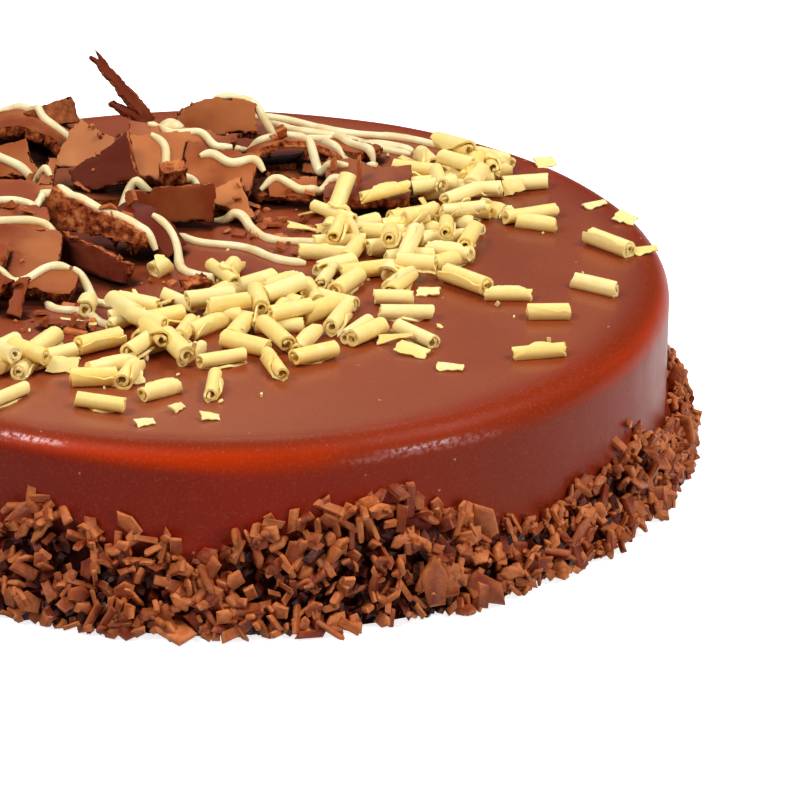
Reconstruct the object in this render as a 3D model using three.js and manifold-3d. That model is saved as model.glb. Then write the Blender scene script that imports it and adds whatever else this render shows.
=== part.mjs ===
// Chocolate torte: a round glazed cake with chopped chocolate pressed round its foot, a pile of milk
// chocolate bark on the back left of its top, a crescent of white chocolate curls beside the pile, and
// white chocolate drizzled over the bark. Millimetres, +Z up, origin at the middle of the cake's flat base.
import * as THREE from "three";
import { mergeVertices } from "three/addons/utils/BufferGeometryUtils.js";
import Module from "manifold-3d";

const wasm = await Module();
wasm.setup();

// Driving dimensions of the glazed cake
const CAKE_RADIUS = 125;
const CAKE_HEIGHT = 50;
const RIM_RADIUS = 7;
const RIM_STEPS = 3;
const CAKE_SEGMENTS = 54;
const SIDE_LEVELS = [4, 8, 12, 16, 21, 28];
const GAP = 0.4;

// The bank of chopped chocolate round the foot: nine handfuls, each a mound
const HANDFULS = 9;
const BANK_HEIGHT = 21;
const BANK_SWELL = 4.5;
const BANK_LEAN = 5;
const BANK_LEAN_TURN = 3;
const BANK_DEPTH = 8;
const FLAKES_PER_HANDFUL = 9;
const FLAKE_LENGTH = [12, 7];
const FLAKE_THICKNESS = 1.6;

// White chocolate curls: rolls with hollowed ends
const CURL_LENGTH = [14.8, 11];
const CURL_RADIUS = [2.5, 2];
const CURL_SIDES = 5;
const CURL_SINK = 0.5;
const CURL_HOLLOW = 1.5;

// Most curls are heaped along an arc beside the bark, every third with another across it
const HEAP_CENTRE = [-139, 141];
const HEAP_RADII = [239, 225];
const HEAP_WIDTH = 27;
const HEAP_ANGLES = [-72, -16];
const HEAP_HEADINGS = [-60, 75];
const HEAP_CURLS = 56;
const HEAP_SPACING = 6;
const HEAP_LIFT = 3.6;
const TOP_RADIUS = 112;

// White drizzle: strands laid from above
const DRIZZLE_RADIUS = 1.3;
const DRIZZLE_SIDES = 4;
const DRIZZLE_STEP = 3.5;
const DRIZZLE_RISE = 0.4;
const DRIZZLE_DROP = 3.5;

// Milk chocolate bark, bottom layer first. at: place, with the height above the glaze. turn: heading,
// pitch and roll in degrees. size: length, width and thickness. curl and bow: degrees of bend across the
// width and along the length. taper: share of the width at each end. crown: how far one edge falls
// away towards both ends.
const BARK = {
  bed_middle: { at: [-34, 46, 3.2], turn: [14, 2, 3], size: [40, 28, 4.5], taper: [0.8, 1] },
  bed_back: { at: [4, 72, 3.2], turn: [-10, 2, 3], size: [44, 24, 4.5], taper: [1, 0.75] },
  bed_left: { at: [-58, 4, 3.2], turn: [75, 2, -3], size: [44, 28, 4.5], taper: [0.9, 0.7] },
  bed_far_left: { at: [-79, 42, 3.2], turn: [58, 2, 2], size: [42, 28, 4.5], taper: [0.7, 1] },
  slab_low_left: { at: [-49.5, -23, 4.4], turn: [-14, -5, 22], size: [25, 15, 4], taper: [1, 0.75], bow: 16 },
  slab_left_front: { at: [-54, -11, 7.6], turn: [-5, -2, 22], size: [25, 16, 4], taper: [1, 0.9] },
  slab_left_back: { at: [-60, 4, 8.6], turn: [3, 0, 15], size: [30, 15, 4], taper: [0.85, 1] },
  slab_left_top: { at: [-59, 19, 10.2], turn: [-6, 2, 16], size: [29, 16, 4], taper: [1, 0.8] },
  slab_broken: { at: [-32, 6, 8.8], turn: [-31, -7, 72], size: [31, 11, 7], taper: [1, 0.35] },
  slab_on_edge: { at: [-32, -11, 4.6], turn: [-38, -5, 72], size: [24, 9, 3.6], taper: [1, 0.7] },
  plate_rounded: { at: [-18, 7, 7.8], turn: [-28, -24, 6], size: [22, 13, 3], taper: [1, 0.75], bow: 70 },
  plate_facing: { at: [-12, 26.5, 6], turn: [-2, 3, 74], size: [25, 12, 2.6], taper: [0.75, 1] },
  fold_left: { at: [-31, 41, 11], turn: [-12, 24, 64], size: [20, 15, 3], taper: [0.45, 1] },
  fold_right: { at: [-16, 48, 11], turn: [24, -12, 36], size: [24, 19, 3], taper: [0.8, 1] },
  plate_top: { at: [-10, 61, 9], turn: [-8, -2, 20], size: [32, 20, 3.4], taper: [1, 0.8], curl: 14 },
  plate_mid: { at: [1, 47, 8.2], turn: [-10, -4, 28], size: [22, 17, 3], taper: [1, 0.8] },
  chunk_top: { at: [-11.5, 38, 11], turn: [15, 4, 20], size: [8, 6, 6], taper: [1, 0.8] },
  arch_left: { at: [-55, 78, 11.5], turn: [82, -4, 4], size: [20, 36, 3.2], curl: 110, taper: [0.9, 1] },
  crest_left: { at: [-47, 83, 12], turn: [26, 6, 58], size: [15, 9, 2.5], taper: [0.6, 1] },
  wing_left: { at: [-36, 63, 8.8], turn: [-30, -6, 44], size: [15, 17, 3], taper: [1, 0.65] },
  plate_back: { at: [0.5, 96, 6.4], turn: [3, 3, 56], size: [24, 14, 2.8], taper: [0.8, 1], crown: 0.6 },
  arch_right: { at: [26, 62.5, 11], turn: [97, -12, 13], size: [10, 38, 2.2], curl: 105, taper: [1, 0.9] },
  arch_floor: { at: [25, 60, 3], turn: [-18, -4, 14], size: [22, 13, 2.4], taper: [0.7, 1] },
  plate_right: { at: [43.5, 43, 5], turn: [-6, -2, 12], size: [24, 22, 3], taper: [1, 0.85], curl: -24 },
  chip_leaning: { at: [6, 32, 4], turn: [-58, -22, 24], size: [15, 12, 2.4], taper: [1, 0.3] },
  chip_front: { at: [22, 43, 4.4], turn: [-6, 0, 30], size: [14, 11, 1.6], taper: [0.6, 1] },
  chip_arch: { at: [29, 57, 5.5], turn: [-24, 12, 40], size: [9, 7, 1.6], taper: [0.5, 1] },
  chip_under: { at: [11, 48, 2.6], turn: [-20, 2, 10], size: [20, 13, 2.4], taper: [1, 0.8] },
  chip_left: { at: [-61, 50, 9], turn: [20, 6, 40], size: [21, 13, 3], taper: [0.6, 1] },
  chip_upright: { at: [-47, 41, 8], turn: [65, 50, 12], size: [13, 7, 2.6], taper: [1, 0.4] },
  chip_small: { at: [-35, 42, 7.5], turn: [40, 35, 30], size: [8, 6, 2.4], taper: [1, 0.5] },
  slab_edge_left: { at: [-69, -21, 6.5], turn: [-8, 2, 18], size: [27, 17, 5], taper: [0.8, 1] },
  sliver_left: { at: [-52, -37, 4.6], turn: [70, 48, 6], size: [12, 4.5, 2], taper: [1, 0.7] },
  sliver_edge: { at: [-60, -34, 4.2], turn: [38, 40, 30], size: [14, 7, 2.2], taper: [0.7, 1] },
  splinter: { at: [-27, 81, 21.5], turn: [178, 51, -62], size: [27, 4.4, 1.8], curl: -50, taper: [1, 0.75] },
  splinter_prong: { at: [-24, 80, 13.5], turn: [176, 29, -55], size: [14, 6, 1.8], curl: -40, taper: [1, 0.3] },
  chunk_crumbly: { at: [-5, -25, 2.8], turn: [30, 6, 8], size: [8.5, 7, 4.6], taper: [0.8, 1] },
  flat_flake: { at: [-40, -48, 1.3], turn: [-8, 0, 0], size: [13, 6, 1.3], taper: [0.5, 0.8] },
  far_slab: { at: [-85, 6, 4.6], turn: [62, -3, 14], size: [32, 20, 4], taper: [1, 0.8] },
  far_plate: { at: [-82, 26, 9], turn: [-20, 8, -22], size: [28, 18, 3.2], taper: [0.7, 1], curl: 30 },
  far_arch: { at: [-82, 54, 12.5], turn: [40, 4, 4], size: [24, 36, 3], curl: 125 },
  far_leaning: { at: [-84, -24, 6], turn: [-38, 14, 40], size: [24, 14, 3], taper: [1, 0.6] },
  back_slab: { at: [-55, 95, 2.6], turn: [-28, 3, 4], size: [24, 13, 3], taper: [0.8, 1] },
  back_chip: { at: [40, 80, 2.6], turn: [-34, 3, 5], size: [18, 11, 2.6], taper: [1, 0.6] },
};
const RAGGED = 0.05;

// White curls that lie clear of the heap: x, y and heading
const LOOSE_CURLS = [
  [-42, -72, 35], [-27, -77, 35], [-29, -101, -20], [-14, -92, 35], [0, -90, 85], [2, -73, 20],
  [15, -76, -75], [26, -70, 30], [40, -56, 45], [53, -57, -45], [51, -42, 0], [28, -40, 45],
  [26, -28, -75], [10, -20, 35], [36, -22, 60], [79, -28, 0], [89, -41, 0], [103, -22, -35],
  [109, 8, -45], [85, -67, 10], [90, 24, -20], [78, 70, -10], [72, 33, -15], [55, 11, 20],
];

// Drizzled strands seen from above: start, end and how far each sways
const STRANDS = [
  { from: [-92, 20], to: [-47, 8], sway: 2 },
  { from: [-48, 18], to: [-16, -2], sway: 0.6 },
  { from: [-88, 8], to: [-42, 0], sway: 1.5 },
  { from: [-66, -30], to: [-39, -22], sway: 1.5 },
  { from: [-38, -22], to: [-22, -38], sway: 1.5 },
  { from: [-45, -31], to: [-25, -47], sway: -1.5 },
  { from: [-80, -44], to: [-42, -66], sway: 1.5 },
  { from: [-90, 70], to: [-46, 40], sway: 2.5 },
  { from: [-80, 42], to: [-46, 28], sway: 2 },
  { from: [-62, 88], to: [-29, 70], sway: 2 },
  { from: [-29, 31], to: [-17, 37], sway: -1 },
  { from: [-18, 53], to: [-5, 38], sway: 2 },
  { from: [-19, 70], to: [8, 71], sway: 1 },
  { from: [-15, 69], to: [5, 60], sway: -2 },
  { from: [8, 71], to: [38, 50], sway: -2.5 },
  { from: [0, 99], to: [58, 84], sway: 3 },
  { from: [10, 114], to: [66, 88], sway: 1.5 },
  { from: [12, 98], to: [56, 87], sway: -1.5 },
  { from: [-4, 50], to: [14, 47], sway: 1.2 },
  { from: [13, 44], to: [38, 42], sway: -2 },
  { from: [33, 90], to: [46, 50], sway: -2.5 },
  { from: [0, 29], to: [34, 5], sway: 2.5 },
  { from: [-10, 18], to: [25, -3], sway: -1.5 },
  { from: [-17, 9], to: [5, -23], sway: 2.5 },
  { from: [-102, 36], to: [-66, 34], sway: 2.5 },
];

const GLAZE = new THREE.MeshStandardMaterial({ color: "#7a3524", roughness: 0.3, metalness: 0 });
const MILK_CHOCOLATE = new THREE.MeshStandardMaterial({ color: "#9c5836", roughness: 0.55, metalness: 0 });

const radians = THREE.MathUtils.degToRad;
const mix = THREE.MathUtils.lerp;

// A repeatable number from 0 to 1
function chance(index, seed) {
  const wave = Math.sin(index * 127.1 + seed * 311.7) * 43758.5453;
  return wave - Math.floor(wave);
}

// Geometry to solid and back
function solidOf(geometry, matrix = new THREE.Matrix4()) {
  const bare = geometry.clone().applyMatrix4(matrix);
  bare.deleteAttribute("normal");
  bare.deleteAttribute("uv");
  const merged = mergeVertices(bare, 1e-4);
  return new wasm.Manifold(
    new wasm.Mesh({
      numProp: 3,
      vertProperties: merged.attributes.position.array,
      triVerts: new Uint32Array(merged.index.array),
    }),
  );
}

function geometryOf(solid) {
  const { vertProperties, triVerts } = solid.getMesh();
  const geometry = new THREE.BufferGeometry();
  geometry.setAttribute("position", new THREE.BufferAttribute(vertProperties, 3));
  geometry.setIndex(new THREE.BufferAttribute(triVerts, 1));
  geometry.computeVertexNormals();
  return geometry;
}

// The biggest body of a solid: loose scraps are dropped and sealed hollows are filled
function largestBody(solid) {
  return solid.decompose().reduce((best, body) => (body.volume() > best.volume() ? body : best));
}

function touches(a, b) {
  return a.intersect(b).volume() > 0;
}

function pose([x, y, z], [heading, pitch, roll]) {
  const turn = new THREE.Euler(radians(roll), radians(-pitch), radians(heading), "ZYX");
  const place = new THREE.Quaternion().setFromEuler(turn);
  return new THREE.Matrix4().compose(new THREE.Vector3(x, y, z), place, new THREE.Vector3(1, 1, 1));
}

// Height of the bank of chopped chocolate at an angle round the cake
function bankHeight(angle) {
  const mounds = BANK_SWELL * Math.sin(HANDFULS * angle);
  return BANK_HEIGHT + mounds + BANK_LEAN * Math.cos(2 * angle + BANK_LEAN_TURN);
}

function bankDepth(angle, z) {
  return BANK_DEPTH * Math.pow(Math.max(0, 1 - z / bankHeight(angle)), 0.6);
}

// The glazed cake, with a rounded top rim and the bank's core swelling out of its foot
function cakeBody() {
  const profile = [new THREE.Vector2(0, 0), new THREE.Vector2(CAKE_RADIUS, 0)];
  for (const level of SIDE_LEVELS) profile.push(new THREE.Vector2(CAKE_RADIUS, level));
  for (let i = 0; i <= RIM_STEPS; i++) {
    const a = (i / RIM_STEPS) * (Math.PI / 2);
    const out = CAKE_RADIUS - RIM_RADIUS + RIM_RADIUS * Math.cos(a);
    profile.push(new THREE.Vector2(out, CAKE_HEIGHT - RIM_RADIUS + RIM_RADIUS * Math.sin(a)));
  }
  profile.push(new THREE.Vector2(0, CAKE_HEIGHT));
  const geometry = new THREE.LatheGeometry(profile, CAKE_SEGMENTS);
  geometry.rotateX(Math.PI / 2);
  const points = geometry.attributes.position;
  for (let i = 0; i < points.count; i++) {
    const [x, y, z] = [points.getX(i), points.getY(i), points.getZ(i)];
    const radius = Math.hypot(x, y);
    if (radius < CAKE_RADIUS - 0.01) continue;
    const angle = Math.atan2(y, x);
    const swollen = (radius + bankDepth(angle, z)) / radius;
    points.setXY(i, x * swollen, y * swollen);
  }
  return solidOf(geometry);
}

// One chopped flake: a thin four-cornered chip
function flake(length, seed) {
  const width = length * mix(0.35, 0.6, chance(seed, 1));
  const corners = [[-0.5, -0.5], [0.5, -0.4], [0.42, 0.5], [-0.36, 0.42]];
  const outline = corners.map(
    ([u, v], i) => new THREE.Vector2(u * length * mix(0.8, 1.1, chance(seed + i, 2)), v * width),
  );
  const options = { depth: FLAKE_THICKNESS, bevelEnabled: false };
  return new THREE.ExtrudeGeometry(new THREE.Shape(outline), options).translate(0, 0, -FLAKE_THICKNESS / 2);
}

// The flakes that show on the bank, the largest first; none reaches under the base
function bankFlakes() {
  const flakes = [];
  for (let k = 0; k < FLAKES_PER_HANDFUL; k++) {
    for (let handful = 0; handful < HANDFULS; handful++) {
      const seed = k * HANDFULS + handful;
      const turn = handful + (k + 0.6 * chance(seed, 3)) / FLAKES_PER_HANDFUL;
      const angle = (2 * Math.PI * turn) / HANDFULS;
      const share = (k * 0.618 + handful * 0.37 + 0.06 * chance(seed, 4)) % 1;
      const z = mix(3, bankHeight(angle) - 1, share);
      const radius = CAKE_RADIUS + bankDepth(angle, z) + 0.4;
      const length = mix(...FLAKE_LENGTH, k / FLAKES_PER_HANDFUL);
      const tilt = [mix(60, 120, chance(seed, 6)), 0, mix(40, 120, chance(seed, 5))];
      const spin = new THREE.Matrix4().makeRotationZ(chance(seed, 7) * Math.PI);
      const place = new THREE.Matrix4().makeRotationZ(angle);
      place.multiply(pose([radius, 0, z], tilt)).multiply(spin);
      const chip = solidOf(flake(length, seed), place);
      if (chip.boundingBox().min[2] > GAP) flakes.push(chip);
    }
  }
  return flakes;
}

// A rolled curl with hollowed ends, lying along X
function curl(length, radius) {
  const end = length / 2;
  const profile = [[0, CURL_HOLLOW - end], [radius, -end], [radius, end], [0, end - CURL_HOLLOW]];
  const points = profile.map(([r, h]) => new THREE.Vector2(r, h));
  return new THREE.LatheGeometry(points, CURL_SIDES).rotateZ(-Math.PI / 2);
}

// Places in the heap: seeded draws, none nearer to another curl than the spacing
function heapPlaces() {
  const places = [...LOOSE_CURLS];
  for (let i = 0; places.length < LOOSE_CURLS.length + HEAP_CURLS; i++) {
    const along = chance(i, 21);
    const angle = radians(mix(...HEAP_ANGLES, along));
    const reach = mix(...HEAP_RADII, along) + HEAP_WIDTH * (chance(i, 22) + chance(i, 23) - 1);
    const x = HEAP_CENTRE[0] + reach * Math.cos(angle);
    const y = HEAP_CENTRE[1] + reach * Math.sin(angle);
    const free = places.every(([px, py]) => Math.hypot(px - x, py - y) > HEAP_SPACING);
    const heading = mix(...HEAP_HEADINGS, Math.sqrt(chance(i, 24)));
    if (free && Math.hypot(x, y) < TOP_RADIUS) places.push([x, y, heading]);
  }
  return places.slice(LOOSE_CURLS.length);
}

function placedCurl([x, y, heading], seed, lift = 0) {
  const length = mix(...CURL_LENGTH, chance(seed, 11));
  const radius = mix(...CURL_RADIUS, chance(seed, 12));
  const z = CAKE_HEIGHT + radius - CURL_SINK + lift;
  return solidOf(curl(length, radius), pose([x, y, z], [heading, 0, 0]));
}

function whiteCurls() {
  const heap = heapPlaces();
  const across = heap.filter((_, i) => i % 3 === 0).map(([x, y, heading]) => [x, y, heading + 70]);
  return [
    ...LOOSE_CURLS.map((place, i) => placedCurl(place, i)),
    ...heap.map((place, i) => placedCurl(place, 100 + i)),
    ...across.map((place, i) => placedCurl(place, 200 + i, HEAP_LIFT)),
  ];
}

// A bent plate of bark: a grid of cells between two faces, split alike, its outer edge ragged
function barkPlate({ size, curl: across = 0, bow = 0, taper = [1, 1], crown = 0 }, seed, grow = 0) {
  const [length, width, thickness] = size;
  const columns = bow || crown ? 5 : 3;
  const rows = Math.abs(across) > 60 ? 5 : 2;
  const bend = (s, offset, angle, span) => {
    if (!angle) return [s, offset];
    const radius = span / radians(angle);
    return [(radius + offset) * Math.sin(s / radius), (radius + offset) * Math.cos(s / radius) - radius];
  };
  const points = [];
  for (const face of [-1, 1]) {
    for (let i = 0; i <= columns; i++) {
      for (let j = 0; j <= rows; j++) {
        const [u, v] = [i / columns - 0.5, j / rows - 0.5];
        const onEnd = i === 0 || i === columns ? 1 : 0;
        const onSide = j === 0 || j === rows ? 1 : 0;
        const chipX = onEnd * RAGGED * length * (chance(j + 7 * i, seed + 0.1) - 0.5);
        const chipY = onSide * 2 * RAGGED * width * (chance(i + 7 * j, seed + 0.2) - 0.5);
        const x = u * (length + 2 * grow) + chipX;
        const share = mix(...taper, u + 0.5) * (v > 0 ? 1 - crown * 4 * u * u : 1);
        const y = v * (width * share + 2 * grow) + chipY;
        const [bentY, riseY] = bend(y, face * (thickness / 2 + grow), across, width);
        const [bentX, rise] = bend(x, riseY, bow, length);
        points.push(bentX, bentY, rise);
      }
    }
  }
  const at = (face, i, j) => face * (columns + 1) * (rows + 1) + i * (rows + 1) + j;
  const index = [];
  const quad = (a, b, c, d) => index.push(a, b, c, a, c, d);
  for (let i = 0; i < columns; i++) {
    for (let j = 0; j < rows; j++) {
      quad(at(1, i, j), at(1, i + 1, j), at(1, i + 1, j + 1), at(1, i, j + 1));
      quad(at(0, i, j), at(0, i, j + 1), at(0, i + 1, j + 1), at(0, i + 1, j));
    }
    quad(at(0, i, 0), at(0, i + 1, 0), at(1, i + 1, 0), at(1, i, 0));
    quad(at(1, i, rows), at(1, i + 1, rows), at(0, i + 1, rows), at(0, i, rows));
  }
  for (let j = 0; j < rows; j++) {
    quad(at(0, 0, j), at(1, 0, j), at(1, 0, j + 1), at(0, 0, j + 1));
    quad(at(1, columns, j), at(0, columns, j), at(0, columns, j + 1), at(1, columns, j + 1));
  }
  const geometry = new THREE.BufferGeometry();
  geometry.setAttribute("position", new THREE.Float32BufferAttribute(points, 3));
  geometry.setIndex(index);
  return geometry;
}

// What keeps bark and drizzle a gap above the glaze
function glazeClearance() {
  const span = 3 * CAKE_RADIUS;
  const slab = new THREE.BoxGeometry(span, span, CAKE_HEIGHT).translate(0, 0, CAKE_HEIGHT / 2 + GAP);
  return solidOf(slab);
}

// Every piece of bark in its place, each trimmed clear of the cake and of the pieces under it
function barkPile(floor) {
  const pile = [];
  for (const [name, piece] of Object.entries(BARK)) {
    const seed = pile.length + 1;
    const [x, y, lift] = piece.at;
    const place = pose([x, y, CAKE_HEIGHT + lift], piece.turn);
    const whole = solidOf(barkPlate(piece, seed), place).subtract(floor);
    const solid = largestBody(pile.reduce((rest, under) => rest.subtract(under.clearance), whole));
    pile.push({ name, place, solid, clearance: solidOf(barkPlate(piece, seed, GAP), place) });
  }
  return pile;
}

// Points along a strand, which sways one and a half times to either side on its way
function strandPoints({ from, to, sway }) {
  const [dx, dy] = [to[0] - from[0], to[1] - from[1]];
  const length = Math.hypot(dx, dy);
  const count = Math.round(length / DRIZZLE_STEP);
  return Array.from({ length: count + 1 }, (_, i) => {
    const share = i / count;
    const side = (sway * Math.sin(3 * Math.PI * share)) / length;
    return [from[0] + dx * share - dy * side, from[1] + dy * share + dx * side];
  });
}

// Each strand is dropped from above and split into runs, one for each thing it lies on
function drizzleRuns(pile) {
  const down = new THREE.Vector3(0, 0, -1);
  const targets = pile.map(({ name, solid }) => {
    const target = new THREE.Mesh(geometryOf(solid), MILK_CHOCOLATE);
    target.name = name;
    return target;
  });
  const runs = [];
  for (const strand of STRANDS) {
    let run = null;
    for (const [x, y] of strandPoints(strand)) {
      const caster = new THREE.Raycaster(new THREE.Vector3(x, y, 4 * CAKE_HEIGHT), down);
      const hit = caster.intersectObjects(targets)[0];
      const owner = hit ? hit.object.name : "cake";
      const z = (hit ? hit.point.z : CAKE_HEIGHT) + DRIZZLE_RISE;
      const drops = run && Math.abs(run.points.at(-1).z - z) > DRIZZLE_DROP;
      if (!run || run.owner !== owner || drops) {
        run = { owner, points: [] };
        runs.push(run);
      }
      run.points.push(new THREE.Vector3(x, y, z));
    }
  }
  return runs.filter(({ points }) => points.length > 3);
}

function strandTube(points, radius) {
  const corners = Array.from({ length: DRIZZLE_SIDES }, (_, i) => (2 * Math.PI * i) / DRIZZLE_SIDES);
  const outline = corners.map((a) => new THREE.Vector2(radius * Math.cos(a), radius * Math.sin(a)));
  const steps = Math.ceil((points.length - 1) / 2.5);
  const options = { steps, extrudePath: new THREE.CatmullRomCurve3(points) };
  return solidOf(new THREE.ExtrudeGeometry(new THREE.Shape(outline), options));
}

// The drizzle on each thing, trimmed clear of everything else
function drizzle(pile, floor) {
  const laid = [];
  for (const { owner, points } of drizzleRuns(pile)) {
    const others = pile.filter(({ name }) => name !== owner).map(({ clearance }) => clearance);
    others.push(...laid.filter((strand) => strand.owner !== owner).map(({ clearance }) => clearance));
    if (owner !== "cake") others.push(floor);
    const tube = strandTube(points, DRIZZLE_RADIUS);
    const solid = others.reduce((rest, other) => rest.subtract(other), tube);
    if (solid.isEmpty()) continue;
    laid.push({ owner, solid, clearance: strandTube(points, DRIZZLE_RADIUS + GAP) });
  }
  return laid;
}

function fuse(body, extras) {
  return largestBody(extras.reduce((whole, extra) => whole.add(extra), body));
}

function placedMesh(name, material, solid, place = new THREE.Matrix4()) {
  const mesh = new THREE.Mesh(geometryOf(solid).applyMatrix4(place.clone().invert()), material);
  mesh.applyMatrix4(place);
  mesh.name = name;
  return mesh;
}

const floor = glazeClearance();
const pile = barkPile(floor);
const strands = drizzle(pile, floor);
const onTop = (name) => strands.filter(({ owner }) => owner === name).map(({ solid }) => solid);
const inTheWay = [...pile, ...strands.filter(({ owner }) => owner !== "cake")];
const curls = whiteCurls().filter((roll) => !inTheWay.some(({ clearance }) => touches(roll, clearance)));

const torte = new THREE.Group();
torte.add(placedMesh("cake", GLAZE, fuse(cakeBody(), [...bankFlakes(), ...curls, ...onTop("cake")])));
for (const { name, place, solid } of pile) {
  torte.add(placedMesh(name, MILK_CHOCOLATE, fuse(solid, onTop(name)), place));
}

export default torte;
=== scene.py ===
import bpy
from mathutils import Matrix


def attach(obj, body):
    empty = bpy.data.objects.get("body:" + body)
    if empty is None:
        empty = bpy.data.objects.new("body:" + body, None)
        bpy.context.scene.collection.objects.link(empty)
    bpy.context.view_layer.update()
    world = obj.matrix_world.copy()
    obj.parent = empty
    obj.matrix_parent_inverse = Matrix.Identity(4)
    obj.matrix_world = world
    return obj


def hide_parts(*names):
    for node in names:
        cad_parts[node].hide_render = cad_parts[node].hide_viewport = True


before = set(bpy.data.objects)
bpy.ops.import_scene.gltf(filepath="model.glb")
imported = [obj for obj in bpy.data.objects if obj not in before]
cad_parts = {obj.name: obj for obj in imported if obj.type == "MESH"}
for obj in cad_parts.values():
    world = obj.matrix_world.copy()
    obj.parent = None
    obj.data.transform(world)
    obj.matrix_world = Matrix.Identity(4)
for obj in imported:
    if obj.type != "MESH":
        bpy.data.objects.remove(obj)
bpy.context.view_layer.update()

import math
import random

import bmesh
import bpy
import numpy as np
from mathutils import Euler, Matrix, Vector
from mathutils.bvhtree import BVHTree

mm = 0.001
gridEdge = 0.499  # the outermost points of a grid of size 1 lie past this


# small tools

def chance(index, seed):  # a repeatable number from 0 to 1
    wave = math.sin(index * 127.1 + seed * 311.7) * 43758.5453
    return wave - math.floor(wave)


def mix(low, high, share):
    return low + (high - low) * share


def clearSelection():
    if bpy.context.object and bpy.context.object.mode != "OBJECT":
        bpy.ops.object.mode_set(mode="OBJECT")
    bpy.ops.object.select_all(action="DESELECT")


def only(piece):
    clearSelection()
    piece.select_set(True)
    bpy.context.view_layer.objects.active = piece


def editFaces(piece):
    only(piece)
    bpy.ops.object.mode_set(mode="EDIT")
    bpy.ops.mesh.select_mode(type="FACE")
    bpy.ops.mesh.select_all(action="SELECT")


def pick(piece, kind, test):  # selects verts, edges or faces in edit mode by a test
    bpy.ops.mesh.select_mode(type={"verts": "VERT", "edges": "EDGE", "faces": "FACE"}[kind])
    bpy.ops.mesh.select_all(action="DESELECT")
    cage = bmesh.from_edit_mesh(piece.data)
    for item in getattr(cage, kind):
        if test(item):
            item.select_set(True)
    cage.select_flush_mode()
    bmesh.update_edit_mesh(piece.data)


def applyModifier(piece, kind, **settings):
    only(piece)
    modifier = piece.modifiers.new(kind.lower(), kind)
    for key, item in settings.items():
        setattr(modifier, key, item)
    bpy.ops.object.modifier_apply(modifier=modifier.name)


def bendPiece(piece, axis, angle):
    applyModifier(piece, "SIMPLE_DEFORM", deform_method="BEND", deform_axis=axis, angle=math.radians(angle))


def smoothShade(piece, angle):
    only(piece)
    bpy.ops.object.shade_smooth_by_angle(angle=math.radians(angle))


def cloudTexture(name, size, depth=2):
    texture = bpy.data.textures.new(name, "CLOUDS")
    texture.noise_scale = size * mm
    texture.noise_depth = depth
    return texture


def turned(x, y, z):  # angles in radians
    return Euler((x, y, z), "XYZ").to_matrix()


def tumbled(draw):  # any way up
    return turned(*[draw.uniform(0, math.tau) for _ in range(3)])


def points(piece):
    flat = np.zeros(len(piece.data.vertices) * 3)
    piece.data.vertices.foreach_get("co", flat)
    return flat.reshape(-1, 3)


def movePoints(piece, moved):
    piece.data.vertices.foreach_set("co", np.ascontiguousarray(moved, dtype=np.float32).ravel())
    piece.data.update()


def centre(piece):
    place = points(piece)
    movePoints(piece, place - (place.min(0) + place.max(0)) / 2)


def mark(piece, name, values, domain="POINT"):  # a named number on every point or face
    layer = piece.data.attributes.get(name) or piece.data.attributes.new(name, "FLOAT", domain)
    layer.data.foreach_set("value", np.ascontiguousarray(values, dtype=np.float32))


def weigh(piece, name, weights):
    group = piece.vertex_groups.new(name=name)
    for index, weight in enumerate(weights):
        if weight > 0:
            group.add([index], float(weight), "REPLACE")


def settle(piece, slotName, *nodes, finish=None):  # rides on the cake, stands for its solids, takes a finish
    only(piece)
    piece.data.materials.clear()
    piece.data.materials.append(finishes[finish or slotName].material)
    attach(piece, "root")
    if nodes:
        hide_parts(*nodes)
    return piece


# shader maths as Python expressions

class Wire:
    def __init__(self, tree, socket):
        self.tree = tree
        self.socket = socket

    def join(self, operation, first, second):
        node = self.tree.nodes.new("ShaderNodeMath")
        node.operation = operation
        for entry, item in zip(node.inputs, (first, second)):
            if isinstance(item, Wire):
                self.tree.links.new(item.socket, entry)
            else:
                entry.default_value = item
        return Wire(self.tree, node.outputs[0])

    def __add__(self, other):
        return self.join("ADD", self, other)

    __radd__ = __add__

    def __sub__(self, other):
        return self.join("SUBTRACT", self, other)

    def __rsub__(self, other):
        return self.join("SUBTRACT", other, self)

    def __mul__(self, other):
        return self.join("MULTIPLY", self, other)

    __rmul__ = __mul__

    def __pow__(self, other):
        return self.join("POWER", self, other)

    def __gt__(self, other):
        return self.join("GREATER_THAN", self, other)


def linear(red, green, blue):  # a colour as seen on a screen, 0 to 255
    scaled = [part / 255 for part in (red, green, blue)]
    return [part / 12.92 if part < 0.04045 else ((part + 0.055) / 1.055) ** 2.4 for part in scaled] + [1]


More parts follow.
